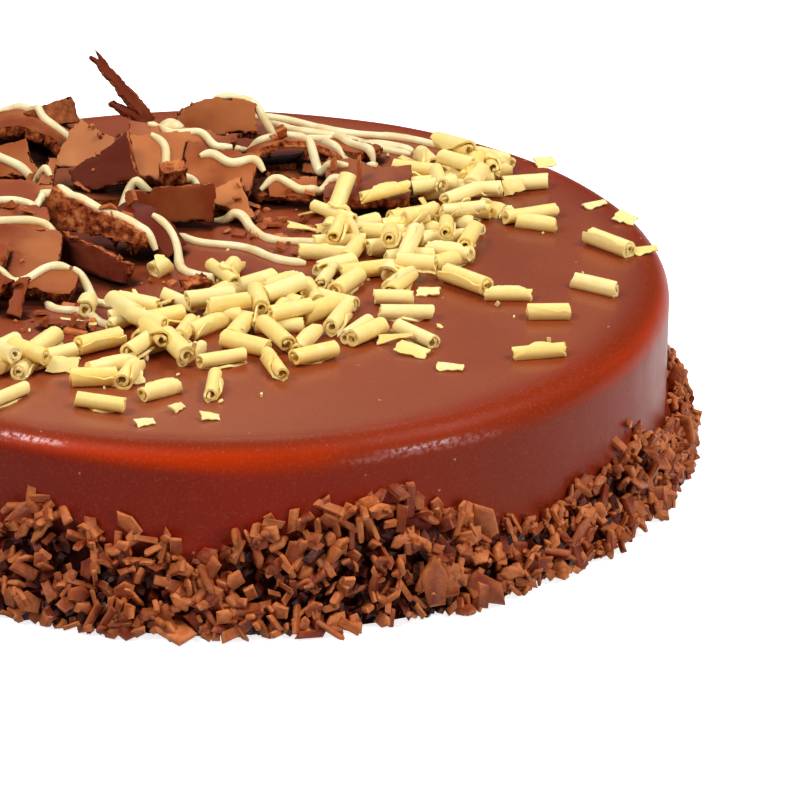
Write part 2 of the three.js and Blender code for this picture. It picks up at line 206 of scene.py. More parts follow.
class Finish:
    def __init__(self, name):
        self.material = bpy.data.materials.new(name)
        self.material.use_nodes = True
        self.tree = self.material.node_tree
        self.tree.nodes.clear()
        self.place = self.node("ShaderNodeTexCoord", output="Object")

    def node(self, kind, settings=None, inputs=None, output=0):
        made = self.tree.nodes.new(kind)
        for key, item in (settings or {}).items():
            if key == "stops":
                while len(made.color_ramp.elements) < len(item):
                    made.color_ramp.elements.new(0.5)
                for stop, (at, colour) in zip(made.color_ramp.elements, item):
                    stop.position = at
                    stop.color = colour
            else:
                setattr(made, key, item)
        for key, item in (inputs or {}).items():
            if isinstance(item, Wire):
                self.tree.links.new(item.socket, made.inputs[key])
            else:
                made.inputs[key].default_value = item
        return Wire(self.tree, made.outputs[output]) if made.outputs else None

    def noise(self, scale, detail=3, rough=0.5, place=None):
        return self.node("ShaderNodeTexNoise", {}, {
            "Vector": place or self.place, "Scale": scale, "Detail": detail, "Roughness": rough})

    def ease(self, wire, low, high, start=0, end=1):
        return self.node("ShaderNodeMapRange", {"interpolation_type": "SMOOTHSTEP"}, {
            0: wire, 1: low, 2: high, 3: start, 4: end})

    def band(self, wire, start, full, fade, end):  # 1 from full to fade
        return self.ease(wire, start, full) * self.ease(wire, end, fade)

    def blend(self, share, first, second):  # colours are wires, or as seen on a screen
        first, second = (item if isinstance(item, Wire) else linear(*item) for item in (first, second))
        return self.node("ShaderNodeMix", {"data_type": "RGBA"}, {0: share, 6: first, 7: second}, output=2)

    def ramp(self, stops, wire):
        colours = [(at, linear(*colour)) for at, colour in stops]
        return self.node("ShaderNodeValToRGB", {"stops": colours}, {0: wire})

    def stretch(self, scale):
        return self.node("ShaderNodeMapping", {}, {"Vector": self.place, "Scale": scale})

    def attribute(self, name):
        return self.node("ShaderNodeAttribute", {"attribute_name": name}, output="Fac")

    def axes(self):
        split = self.node("ShaderNodeSeparateXYZ", {}, {0: self.place})
        return [Wire(self.tree, out) for out in split.socket.node.outputs]

    def bump(self, height, strength, distance):
        return self.node("ShaderNodeBump", {}, {
            "Height": height, "Strength": strength, "Distance": distance * mm})

    def close(self, **sockets):
        shader = self.node("ShaderNodeBsdfPrincipled", {}, {
            key.replace("_", " "): item for key, item in sockets.items()})
        self.node("ShaderNodeOutputMaterial", {}, {"Surface": shader})
        return self


# finishes

glazeLook = {
    "top": [(127, 51, 21), (139, 60, 27)], "paintedSheen": (152, 78, 44), "paintedSheenShare": 0.8,
    "ring": [(120, 36, 6), (184, 48, 0)], "patch": (124, 36, 4), "patchShare": 0.5,
    "dull": (134, 40, 8), "dullShare": 0.7,
    "side": [  # painted light and shade round the wall, from left to right
        (0.0, (122, 31, 14)), (0.35, (154, 37, 15)), (0.6, (148, 42, 18)), (0.8, (130, 43, 18)),
        (1.0, (126, 42, 17))],
    "sideCloud": (120, 30, 12), "sideCloudShare": 0.3, "grain": (204, 120, 86), "grainShare": 0.11,
    "bankShadeColour": (30, 8, 4), "bankShadeShare": 0.95, "gap": (28, 6, 3), "gapShare": 0.88,
    "speck": (214, 160, 130), "speckShare": 0.6, "speckScale": 210.0, "speckPicked": 0.8,
    "topShine": 0.44, "wallShine": 0.04, "lineShine": 0.13, "glintShine": 0.75,
    "roughness": 0.36, "roughCloud": 0.14, "roughCover": 0.5,
    "ringStart": 0.119, "ringWander": 0.008, "wallStart": 0.0426,  # these and what follows in metres
    "dullX": (0.022, 0.040, 0.094, 0.108), "lowX": (0.026, 0.040, 0.066, 0.080),
    "lowZ": (0.0425, 0.0438, 0.0455, 0.0468), "highZ": (0.0460, 0.0472, 0.0490, 0.0499),
}


def glazeFinish():
    look, given = Finish("ganacheGlaze"), glazeLook
    x, y, z = look.axes()
    reach = (x * x + y * y) ** 0.5
    cloud = look.ease(look.noise(16, 3), 0.35, 0.65)
    patchy = look.noise(13, 3)
    crown = look.blend(cloud, *given["top"])  # the flat top
    paintedSheen = look.ease(y, -0.06, -0.105) * look.ease(x, 0.06, -0.02)  # painted sheen, in front, on the left
    crown = look.blend(paintedSheen * given["paintedSheenShare"], crown, given["paintedSheen"])
    ring = look.blend(look.ease(z, 0.0498, 0.0470), *given["ring"])  # the rounded rim, brighter orange lower down as painted glow
    ring = look.blend(look.ease(patchy, 0.42, 0.62) * given["patchShare"], ring, given["patch"])
    ring = look.blend(look.band(x, *given["dullX"]) * given["dullShare"], ring, given["dull"])
    inset = given["ringStart"] - look.ease(x, 0.0, 0.09, 0, 0.006) + given["ringWander"] * (patchy - 0.5)
    thin = look.ease(reach - inset, -0.005, 0.004)  # the glaze thins towards the rim; the orange there is partly its own colour and partly painted glow
    # painted light and shade: the wall is darker on the left and brightest near the middle
    side = look.ramp(given["side"], look.ease(x, -0.07, 0.13))
    side = look.blend(cloud * given["sideCloudShare"], side, given["sideCloud"])
    fade = look.ease(x, 0.02, 0.09, 0.0021, 0.0009)  # the wall starts sharper on the right
    lifted = look.ease(x, -0.05, 0.02, 0.0035, 0)  # and higher on the left
    wall = look.ease(z - lifted, given["wallStart"] + fade, given["wallStart"] - fade)
    skin = look.blend(wall, look.blend(thin, crown, ring), side)
    grain = look.ease(look.noise(1300, 2), 0.5, 0.75)
    skin = look.blend(grain * given["grainShare"], skin, given["grain"])
    bankShade = look.attribute("bank")  # painted shade behind the flakes and under the bark
    skin = look.blend(bankShade * given["bankShadeShare"], skin, given["bankShadeColour"])
    hollow = look.ease(look.attribute("hollow"), 0.06, 0.33)
    skin = look.blend(hollow * given["gapShare"], skin, given["gap"])
    seeds = look.node("ShaderNodeTexVoronoi", {}, {"Vector": look.place, "Scale": given["speckScale"]})
    colour = look.node("ShaderNodeSeparateColor", {}, {
        0: Wire(look.tree, seeds.socket.node.outputs["Color"])})
    specks = look.ease(seeds, 0.10, 0.05) * (colour > given["speckPicked"])  # tiny bubbles and dust
    skin = look.blend(specks * given["speckShare"], skin, given["speck"])
    streak = look.noise(1.0, 3, place=look.stretch((260, 260, 14)))
    ripple = look.noise(1.0, 2, place=look.stretch((38, 62, 38)))
    height = ripple + streak * 0.35 * wall + look.noise(420, 2) * 0.05  # uneven, as it ran down
    flat = look.ease(reach, 0.1185, 0.1150)  # gloss: the top, glints and lines
    glint = look.band(x, *given["lowX"]) * look.band(z, *given["lowZ"])  # broken gloss on the rim in front
    glint = glint + look.ease(x, -0.034, -0.044) * look.band(z, *given["highZ"])
    glint = glint * look.ease(y, -0.02, -0.06) * look.ease(look.noise(850, 2), 0.36, 0.6)
    lines = look.noise(1.0, 2, place=look.stretch((520, 520, 9)))
    lines = look.ease(lines, 0.44, 0.74) * look.ease(x, 0.085, 0.118) * wall  # upright gloss on the right
    shine = given["topShine"] * flat + given["wallShine"] * wall
    shine = shine + given["lineShine"] * lines + given["glintShine"] * glint
    rough = given["roughness"] + given["roughCloud"] * look.noise(90, 3)
    rough = rough + given["roughCover"] * (bankShade + hollow)
    return look.close(
        Base_Color=skin, Roughness=rough, Normal=look.bump(height, 0.3, 0.8), IOR=1.46,
        Specular_IOR_Level=0.1, Coat_Weight=shine * (1 - bankShade) * (1 - hollow), Coat_Roughness=0.2)


barkLook = {
    "smooth": [(136, 58, 20), (186, 110, 60)],
    "crumb": [(0.38, (58, 15, 8)), (0.5, (160, 74, 30)), (0.64, (214, 134, 76))],
    "shadeTint": (90, 21, 6), "shadeTintShare": 0.9, "paintedLight": (222, 146, 88), "gap": (34, 5, 3), "gapShare": (0.94, 0.5),
    "roughness": 0.42, "roughCrumb": 0.3, "roughCloud": 0.1, "roughGap": 0.4,
}


def barkFinish():
    look, given = Finish("milkChocolateBark"), barkLook
    broken = look.attribute("broken")
    tone = look.attribute("tone")
    smooth = look.blend(look.ease(look.noise(45, 3), 0.35, 0.7), *given["smooth"])
    crumb = look.ramp(given["crumb"], look.noise(430, 5, 0.7))
    skin = look.blend(broken, smooth, crumb)
    # painted shade: low tones darken the skin
    skin = look.blend(look.ease(tone, 0, 1, given["shadeTintShare"], 0), skin, given["shadeTint"])
    skin = look.blend(look.ease(tone, 1, 2), skin, given["paintedLight"])  # painted light: a few faces are paler
    # painted shade in the gaps of the pile, less on broken edges
    full, less = given["gapShare"]
    hollow = look.ease(look.attribute("hollow"), 0.14, 0.44) * (full - less * broken)
    skin = look.blend(hollow, skin, given["gap"])
    grain = look.noise(900, 4, 0.6) * (0.15 + broken * 0.85)
    scrape = look.noise(1.0, 3, place=look.stretch((90, 900, 300))) * (1 - broken) * 0.25
    rough = given["roughness"] + broken * given["roughCrumb"] + given["roughCloud"] * look.noise(120, 4)
    return look.close(
        Base_Color=skin, Roughness=rough + hollow * given["roughGap"],
        Normal=look.bump(grain + scrape, 0.5, 0.6), IOR=1.45, Specular_IOR_Level=0.14)


flakeLook = {
    "tones": [(0.0, (34, 6, 3)), (0.35, (124, 43, 15)), (1.0, (208, 120, 64))],
    "mottle": (126, 46, 14), "mottleShare": 0.35, "roughness": 0.44,
}


def flakeFinish():
    look, given = Finish("choppedMilkChocolate"), flakeLook
    skin = look.ramp(given["tones"], look.attribute("tone"))
    mottle = look.ease(look.noise(600, 3), 0.4, 0.7)
    skin = look.blend(mottle * given["mottleShare"], skin, given["mottle"])
    return look.close(
        Base_Color=skin, Roughness=given["roughness"], Normal=look.bump(look.noise(900, 3), 0.5, 0.6),
        IOR=1.45, Specular_IOR_Level=0.24)


whiteLook = {
    "tones": [(246, 209, 114), (249, 222, 149)], "bloom": (251, 234, 190), "bloomShare": 0.3,
    "roughness": 0.48, "glow": 0.35, "glowRadius": (0.0014, 0.0011, 0.0007),
}


def whiteFinish():
    look, given = Finish("whiteChocolate"), whiteLook
    skin = look.blend(look.attribute("tone"), *given["tones"])
    bloom = look.ease(look.noise(420, 3), 0.45, 0.8)
    skin = look.blend(bloom * given["bloomShare"], skin, given["bloom"])
    return look.close(
        Base_Color=skin, Roughness=given["roughness"], Normal=look.bump(look.noise(500, 3), 0.2, 0.4),
        Subsurface_Weight=given["glow"], Subsurface_Radius=given["glowRadius"], Subsurface_Scale=1.0)


drizzleLook = {
    "tones": [(229, 205, 147), (241, 226, 178)], "roughness": 0.36,
    "glow": 0.2, "glowRadius": (0.0016, 0.0011, 0.0006),
}


def drizzleFinish():
    look, given = Finish("whiteDrizzle"), drizzleLook
    skin = look.blend(look.ease(look.noise(160, 3), 0.3, 0.7), *given["tones"])
    return look.close(
        Base_Color=skin, Roughness=given["roughness"], Normal=look.bump(look.noise(500, 3), 0.15, 0.4),
        Subsurface_Weight=given["glow"], Subsurface_Radius=given["glowRadius"], Subsurface_Scale=1.0)


finishes = {
    "glaze": glazeFinish(),
    "milk_chocolate": barkFinish(),
    "chopped_chocolate": flakeFinish(),
    "white_chocolate": whiteFinish(),
    "drizzle": drizzleFinish(),
}
print("finishes ready")


# the glazed cake

cake = {"radius": 125, "height": 50, "rim": 7, "sides": 180, "sideRings": 14, "rimRings": 9, "topRings": 44,
        "sag": 0.5, "sagSize": 34, "sagFrom": 20, "smooth": 50}
bank = {"handfuls": 9, "height": 21, "swell": 4.5, "lean": 5, "leanTurn": 3, "depth": 8, "slope": 0.6,
        "core": 0.5, "shadeFrom": 3, "shadeFade": 4,  # how far under its top the glaze is darkened with painted shade
        "clumps": [  # angle, height and half width
            (-109, 3, 5), (-97, 4, 4), (-85.5, 7, 4), (-79, 7, 5), (-71, 5, 5), (-60, 3, 4)]}


def bankHeight(angle):
    return (bank["height"] + bank["swell"] * math.sin(bank["handfuls"] * angle)
            + bank["lean"] * math.cos(2 * angle + bank["leanTurn"]))


def bankTop(angle):  # with the clumps on it
    turn = math.degrees(angle)
    return bankHeight(angle) + sum(
        rise * max(0, 1 - ((turn - at) / wide) ** 2) for at, rise, wide in bank["clumps"])


def bankDepth(angle, z):
    return bank["depth"] * max(0, 1 - z / bankHeight(angle)) ** bank["slope"]


def makeGlaze():
    clearSelection()
    radius, height, rim = cake["radius"], cake["height"], cake["rim"]
    bpy.ops.mesh.primitive_circle_add(vertices=cake["sides"], radius=radius * mm, fill_type="NGON")
    body = bpy.context.object
    body.name = "glazedCake"
    editFaces(body)
    rings = [(radius, (i + 1) / cake["sideRings"] * (height - rim)) for i in range(cake["sideRings"])]
    for i in range(cake["rimRings"]):
        turn = (i + 1) / cake["rimRings"] * math.pi / 2
        rings.append((radius - rim + rim * math.cos(turn), height - rim + rim * math.sin(turn)))
    flat = radius - rim
    rings += [(flat * (1 - (i + 1) / (cake["topRings"] + 1)), height) for i in range(cake["topRings"])]
    reach, level = radius, 0
    for nextReach, nextLevel in rings:
        bpy.ops.mesh.extrude_region_move(TRANSFORM_OT_translate={"value": (0, 0, (nextLevel - level) * mm)})
        share = nextReach / reach
        bpy.ops.transform.resize(value=(share, share, 1), center_override=(0, 0, nextLevel * mm))
        reach, level = nextReach, nextLevel
    bpy.ops.mesh.poke()
    bpy.ops.mesh.select_all(action="SELECT")
    bpy.ops.mesh.normals_make_consistent(inside=False)
    bpy.ops.object.mode_set(mode="OBJECT")
    place = points(body)
    bankShade = np.zeros(len(place))
    wall = (radius - 0.1) * mm  # what lies past this is on the wall
    for i, (px, py, pz) in enumerate(place):
        angle = math.atan2(py, px)
        if math.hypot(px, py) > wall:
            swell = 1 + bank["core"] * bankDepth(angle, pz / mm) / radius
            place[i] = (px * swell, py * swell, pz)
            # painted shade on the wall behind the flakes, darker deeper under the bank's top
            under = bankTop(angle) - bank["shadeFrom"] - pz / mm
            bankShade[i] = min(1, max(0, under / bank["shadeFade"]))
    movePoints(body, place)
    mark(body, "bank", bankShade)
    weigh(body, "soft", [min(1, pz / mm / cake["sagFrom"]) for pz in place[:, 2]])
    applyModifier(body, "DISPLACE", texture=cloudTexture("sag", cake["sagSize"]), strength=cake["sag"] * mm,
                  mid_level=0.5, vertex_group="soft")
    body.vertex_groups.clear()
    smoothShade(body, cake["smooth"])
    return settle(body, "glaze", "cake")


glazedCake = makeGlaze()
print("glazed cake", len(glazedCake.data.polygons), "faces")


# chocolate bark

shard = {
    "cell": 0.85, "edgeCell": 1.4, "ragged": 0.05, "bite": 0.35,
    "notch": 1.5, "notchShare": 0.11, "notchSize": 3.2,
    "sway": 0.3, "swaySize": 9, "crumbleSize": 2.0, "crumbleLevel": 0.62, "smooth": 38,
    "tones": (0.9, 1.0), "under": 0.1, "edge": 0.9,
    "steps": (3, 2), "bentSteps": 5, "bentFrom": 60,  # corners of the outline, as in the solids
    "forkStart": 0.38, "forkSide": -0.1, "forkWidth": 0.3,
    "plain": {"taper": (1, 1), "curl": 0, "bow": 0, "crown": 0, "crumbly": 0, "crumble": 1.1, "fork": 0},
}


def plate(at, turn, size, **more):
    return {**shard["plain"], "at": at, "turn": turn, "size": size, **more}


# a tone darkens a piece below 1 and pales it above 1: painted shade on pieces deep in the pile or turned from
# the lamps, painted light on a few facing them
bark = {  # place with height above the glaze; heading, pitch and roll; length, width and thickness
    "bed_middle": plate((-34, 46, 3.2), (14, 2, 3), (40, 28, 4.5), taper=(0.8, 1), tone=0.3),
    "bed_back": plate((4, 72, 3.2), (-10, 2, 3), (44, 24, 4.5), taper=(1, 0.75), tone=0.3),
    "bed_left": plate((-58, 4, 3.2), (75, 2, -3), (44, 28, 4.5), taper=(0.9, 0.7), tone=0.3),
    "bed_far_left": plate((-79, 42, 3.2), (58, 2, 2), (42, 28, 4.5), taper=(0.7, 1), tone=0.3),
    "slab_low_left": plate((-49.5, -23, 4.4), (-14, -5, 22), (25, 15, 4), taper=(1, 0.75), bow=16,
                           tone=0.55),
    "slab_left_front": plate((-54, -11, 7.6), (-5, -2, 22), (25, 16, 4), taper=(1, 0.9), tone=0.61),
    "slab_left_back": plate((-60, 4, 8.6), (3, 0, 15), (30, 15, 4), taper=(0.85, 1)),
    "slab_left_top": plate((-59, 19, 10.2), (-6, 2, 16), (29, 16, 4), taper=(1, 0.8)),
    "slab_broken": plate((-32, 6, 8.8), (-31, -7, 72), (31, 11, 7), taper=(1, 0.35), crumbly=1, crumble=1.7,
                         tone=0.6),
    "slab_on_edge": plate((-32, -11, 4.6), (-38, -5, 72), (24, 9, 3.6), taper=(1, 0.7), crumbly=0.25,
                          crumble=1.6, tone=0),
    "plate_rounded": plate((-18, 7, 7.8), (-28, -24, 6), (22, 13, 3), taper=(1, 0.75), bow=70, tone=0.1),
    "plate_facing": plate((-12, 26.5, 6), (-2, 3, 74), (25, 12, 2.6), taper=(0.75, 1), tone=0.38),
    "fold_left": plate((-31, 41, 11), (-12, 24, 64), (20, 15, 3), taper=(0.45, 1), tone=0.05),
    "fold_right": plate((-16, 48, 11), (24, -12, 36), (24, 19, 3), taper=(0.8, 1), tone=1.35),
    "plate_top": plate((-10, 61, 9), (-8, -2, 20), (32, 20, 3.4), taper=(1, 0.8), curl=14, tone=0.74),
    "plate_mid": plate((1, 47, 8.2), (-10, -4, 28), (22, 17, 3), taper=(1, 0.8), tone=0.72),
    "chunk_top": plate((-11.5, 38, 11), (15, 4, 20), (8, 6, 6), taper=(1, 0.8), crumbly=0.7, crumble=2.2,
                       tone=0.8),
    "arch_left": plate((-55, 78, 11.5), (82, -4, 4), (20, 36, 3.2), curl=110, taper=(0.9, 1), tone=0.76),
    "crest_left": plate((-47, 83, 12), (26, 6, 58), (15, 9, 2.5), taper=(0.6, 1), crumbly=0.5, tone=0.6),
    "wing_left": plate((-36, 63, 8.8), (-30, -6, 44), (15, 17, 3), taper=(1, 0.65), tone=1.45),
    "plate_back": plate((0.5, 96, 6.4), (3, 3, 56), (24, 14, 2.8), taper=(0.8, 1), crown=0.6, tone=0.62),
    "arch_right": plate((26, 62.5, 11), (97, -12, 13), (10, 38, 2.2), curl=105, taper=(1, 0.9), tone=0.8),
    "arch_floor": plate((25, 60, 3), (-18, -4, 14), (22, 13, 2.4), taper=(0.7, 1), tone=0.5),
    "plate_right": plate((43.5, 43, 5), (-6, -2, 12), (24, 22, 3), taper=(1, 0.85), curl=-24, tone=0.45),
    "chip_leaning": plate((6, 32, 4), (-58, -22, 24), (15, 12, 2.4), taper=(1, 0.3), tone=1.42),
    "chip_front": plate((22, 43, 4.4), (-6, 0, 30), (14, 11, 1.6), taper=(0.6, 1), tone=0.74),
    "chip_arch": plate((29, 57, 5.5), (-24, 12, 40), (9, 7, 1.6), taper=(0.5, 1)),
    "chip_under": plate((11, 48, 2.6), (-20, 2, 10), (20, 13, 2.4), taper=(1, 0.8), tone=0.5),
    "chip_left": plate((-61, 50, 9), (20, 6, 40), (21, 13, 3), taper=(0.6, 1), tone=0.7),
    "chip_upright": plate((-47, 41, 8), (65, 50, 12), (13, 7, 2.6), taper=(1, 0.4), tone=0.7),
    "chip_small": plate((-35, 42, 7.5), (40, 35, 30), (8, 6, 2.4), taper=(1, 0.5), crumbly=0.4),
    "slab_edge_left": plate((-69, -21, 6.5), (-8, 2, 18), (27, 17, 5), taper=(0.8, 1)),
    "sliver_left": plate((-52, -37, 4.6), (70, 48, 6), (12, 4.5, 2), taper=(1, 0.7)),
    "sliver_edge": plate((-60, -34, 4.2), (38, 40, 30), (14, 7, 2.2), taper=(0.7, 1)),
    "splinter": plate((-27, 81, 21.5), (178, 51, -62), (27, 4.4, 1.8), curl=-50, taper=(1, 0.75), tone=0.4,
                      fork=4),
    "splinter_prong": plate((-24, 80, 13.5), (176, 29, -55), (14, 6, 1.8), curl=-40, taper=(1, 0.3),
                            tone=0.25),
    "chunk_crumbly": plate((-5, -25, 2.8), (30, 6, 8), (8.5, 7, 4.6), taper=(0.8, 1), crumbly=1,
                           crumble=3.4),
    "flat_flake": plate((-40, -48, 1.3), (-8, 0, 0), (13, 6, 1.3), taper=(0.5, 0.8), tone=0.7),
    "far_slab": plate((-85, 6, 4.6), (62, -3, 14), (32, 20, 4), taper=(1, 0.8)),
    "far_plate": plate((-82, 26, 9), (-20, 8, -22), (28, 18, 3.2), taper=(0.7, 1), curl=30),
    "far_arch": plate((-82, 54, 12.5), (40, 4, 4), (24, 36, 3), curl=125),
    "far_leaning": plate((-84, -24, 6), (-38, 14, 40), (24, 14, 3), taper=(1, 0.6)),
    "back_slab": plate((-55, 95, 2.6), (-28, 3, 4), (24, 13, 3), taper=(0.8, 1)),
    "back_chip": plate((40, 80, 2.6), (-34, 3, 5), (18, 11, 2.6), taper=(1, 0.6)),
}
shardSway = cloudTexture("shardSway", shard["swaySize"])
shardCrumble = cloudTexture("shardCrumble", shard["crumbleSize"], 3)


def placing(at, turn):
    heading, pitch, roll = (math.radians(value) for value in turn)
    return Matrix.Translation(Vector(at) * mm) @ turned(roll, -pitch, heading).to_4x4()


def ragged(along, steps, line, seed):  # straight between the draws at an edge's corners
    at = (along + 0.5) * steps
    low = min(int(at), steps - 1)
    draws = [chance(low + j + 7 * line, seed) - 0.5 for j in (0, 1)]
    return shard["ragged"] * mix(*draws, at - low)


def notch(run, width, seed):  # how far an outline is broken in, in mm
    at = run / shard["notchSize"]
    low = math.floor(at)
    draw = mix(chance(low, seed), chance(low + 1, seed), at - low)
    return min(shard["notch"], width * shard["notchShare"]) * max(0, 2 * draw - 1)


def breakOutline(place, spec, seed):  # a grid of size 1 becomes the plate's outline, in mm
    length, width, _ = spec["size"]
    stepsX, stepsY = shard["steps"]
    if spec["bow"] or spec["crown"]:
        stepsX = shard["bentSteps"]
    if abs(spec["curl"]) > shard["bentFrom"]:
        stepsY = shard["bentSteps"]
    bites = random.Random(seed)
    for i, (u, v, _) in enumerate(place.copy()):
        chipX = chipY = 0
        if abs(u) > gridEdge:
            line = 0 if u < 0 else stepsX
            chipX = length * ragged(v, stepsY, line, seed + 0.1)
            bite = shard["bite"] * bites.random() ** 2
            chipX -= math.copysign(bite + notch(v * width, width, seed + line), u)
        if u > shard["forkStart"]:
            cleft = max(0, 1 - abs(v - shard["forkSide"]) / shard["forkWidth"])
            chipX -= spec["fork"] * cleft * (u - shard["forkStart"]) / (0.5 - shard["forkStart"])
        if abs(v) > gridEdge:
            line = 0 if v < 0 else stepsY
            chipY = 2 * width * ragged(u, stepsX, line, seed + 0.2)
            bite = shard["bite"] * bites.random() ** 2
            chipY -= math.copysign(bite + notch(u * length, width, seed + line + 0.5), v)
        share = mix(*spec["taper"], u + 0.5) * (1 - spec["crown"] * 4 * u * u if v > 0 else 1)
        place[i] = (u * length + chipX, v * width * share + chipY, 0)
    return place


def makeShard(name, spec, seed):
    length, width, thick = spec["size"]
    columns, rows = max(5, round(length / shard["cell"])), max(4, round(width / shard["cell"]))
    clearSelection()
    bpy.ops.mesh.primitive_grid_add(x_subdivisions=columns, y_subdivisions=rows, size=1)
    piece = bpy.context.object
    piece.name = "bark" + name.title().replace("_", "")
    movePoints(piece, breakOutline(points(piece), spec, seed) * mm)
    piece.data.transform(Matrix.Rotation(math.pi / 2, 4, "X"))  # stood up, so that bends run along X and Z
    applyModifier(piece, "SOLIDIFY", thickness=thick * mm, offset=0)
    editFaces(piece)
    half = thick * mm / 2
    pick(piece, "edges", lambda edge: abs(edge.verts[0].co.y - edge.verts[1].co.y) > half)
    bpy.ops.mesh.subdivide(number_cuts=max(1, round(thick / shard["edgeCell"])))
    bpy.ops.object.mode_set(mode="OBJECT")
    facing = np.array([face.normal.y for face in piece.data.polygons])
    broken = (np.abs(facing) < 0.5).astype(float)
    broken[facing < -0.5] = spec["crumbly"]
    mark(piece, "broken", broken, "FACE")
    tone = spec.get("tone", mix(*shard["tones"], chance(seed, 8)))
    depth = points(piece)[:, 1]
    near = half * 0.9
    tones = np.where(depth > near, tone * shard["under"], tone)  # painted shade: the underside is darker
    mark(piece, "tone", np.where(np.abs(depth) < near, max(tone, shard["edge"]), tones))
    crumbling = np.zeros(len(piece.data.vertices))
    for face, share in zip(piece.data.polygons, broken):
        for corner in face.vertices:
            crumbling[corner] = max(crumbling[corner], share)
    for axis, angle in (("X", spec["curl"]), ("Z", spec["bow"])):
        if angle:
            bendPiece(piece, axis, angle)
    piece.data.transform(Matrix.Rotation(-math.pi / 2, 4, "X"))
    x, y, lift = spec["at"]
    piece.data.transform(placing((x, y, cake["height"] + lift), spec["turn"]))
    weigh(piece, "crumbling", crumbling)
    applyModifier(piece, "DISPLACE", texture=shardSway, strength=shard["sway"] * mm, mid_level=0.5)
    applyModifier(piece, "DISPLACE", texture=shardCrumble, strength=spec["crumble"] * mm,
                  mid_level=shard["crumbleLevel"], vertex_group="crumbling")
    piece.vertex_groups.clear()
    smoothShade(piece, shard["smooth"])
    return settle(piece, "milk_chocolate", name)


barkPieces = [makeShard(name, spec, seed + 1) for seed, (name, spec) in enumerate(bark.items())]
print("bark", len(barkPieces), "pieces")


# what lies on top falls on these

def surfaceTree(pieces):
    coords, faces, start = [], [], 0
    for piece in pieces:
        coords.append(points(piece))
        faces += [[corner + start for corner in face.vertices] for face in piece.data.polygons]
        start += len(piece.data.vertices)
    return BVHTree.FromPolygons(np.concatenate(coords).tolist(), faces)


skyHeight = 0.3  # metres, above everything
barkTree = surfaceTree(barkPieces)
topTree = surfaceTree([glazedCake, *barkPieces])


def landing(tree, x, y):  # height in mm of what is met from above
    hit = tree.ray_cast(Vector((x * mm, y * mm, skyHeight)), Vector((0, 0, -1)))[0]
    return hit.z / mm if hit else None


# painted shade: the chocolate is darker down in the gaps of the pile

gaps = {"rays": 14, "reach": 15, "clear": 0.3, "seed": 9}


def markGapShade(piece, tree):
    draw = random.Random(gaps["seed"])
    rays = [Vector([draw.gauss(0, 1) for _ in range(3)]).normalized() for _ in range(gaps["rays"])]
    reach = gaps["reach"] * mm
    hidden = np.zeros(len(piece.data.vertices))
    for i, corner in enumerate(piece.data.vertices):
        start = corner.co + corner.normal * gaps["clear"] * mm
        for ray in rays:
            distance = tree.ray_cast(start, corner.normal + ray, reach)[3]
            if distance is not None:
                hidden[i] += 1 - distance / reach
    mark(piece, "hollow", hidden / gaps["rays"])


for shadedPiece in barkPieces:
    markGapShade(shadedPiece, topTree)
markGapShade(glazedCake, barkTree)
print("gaps darkened")


# many copies of a few modelled kinds, joined into one mesh

def kindOf(piece):  # a modelled kind as points and triangles; the model itself is then removed
    piece.data.calc_loop_triangles()
    corners = np.array([triangle.vertices[:] for triangle in piece.data.loop_triangles])
    shape = (points(piece), corners)
    bpy.data.objects.remove(piece)
    return shape


def lowest(kind, spin):  # of a turned kind, in metres
    return (kind[0] @ np.array(spin).T)[:, 2].min()


# a copy has its kind, its placing and its tone
def joinCopies(name, kinds, copies, speckle=0.0, rim=0.0, rimHighlightLevel=0.0, seed=3):
    coords, faces, tones, start = [], [], [], 0
    draw = np.random.default_rng(seed)
    for kind, matrix, tone in copies:
        body, corners = kinds[kind]
        coords.append(body @ np.array(matrix.to_3x3()).T + np.array(matrix.translation))
        faces.append(corners + start)
        flatness = np.abs(body[:, 2]) / np.abs(body[:, 2]).max()
        grain = speckle * (draw.random(len(body)) - 0.5)
        tones.append(tone + grain + rim * (rimHighlightLevel - flatness))  # painted highlight: rims are paler
        start += len(body)
    mesh = bpy.data.meshes.new(name)
    mesh.from_pydata(np.concatenate(coords), [], np.concatenate(faces).tolist())
    piece = bpy.data.objects.new(name, mesh)
    bpy.context.scene.collection.objects.link(piece)
    mark(piece, "tone", np.concatenate(tones))
    return piece


# chopped flakes round the foot

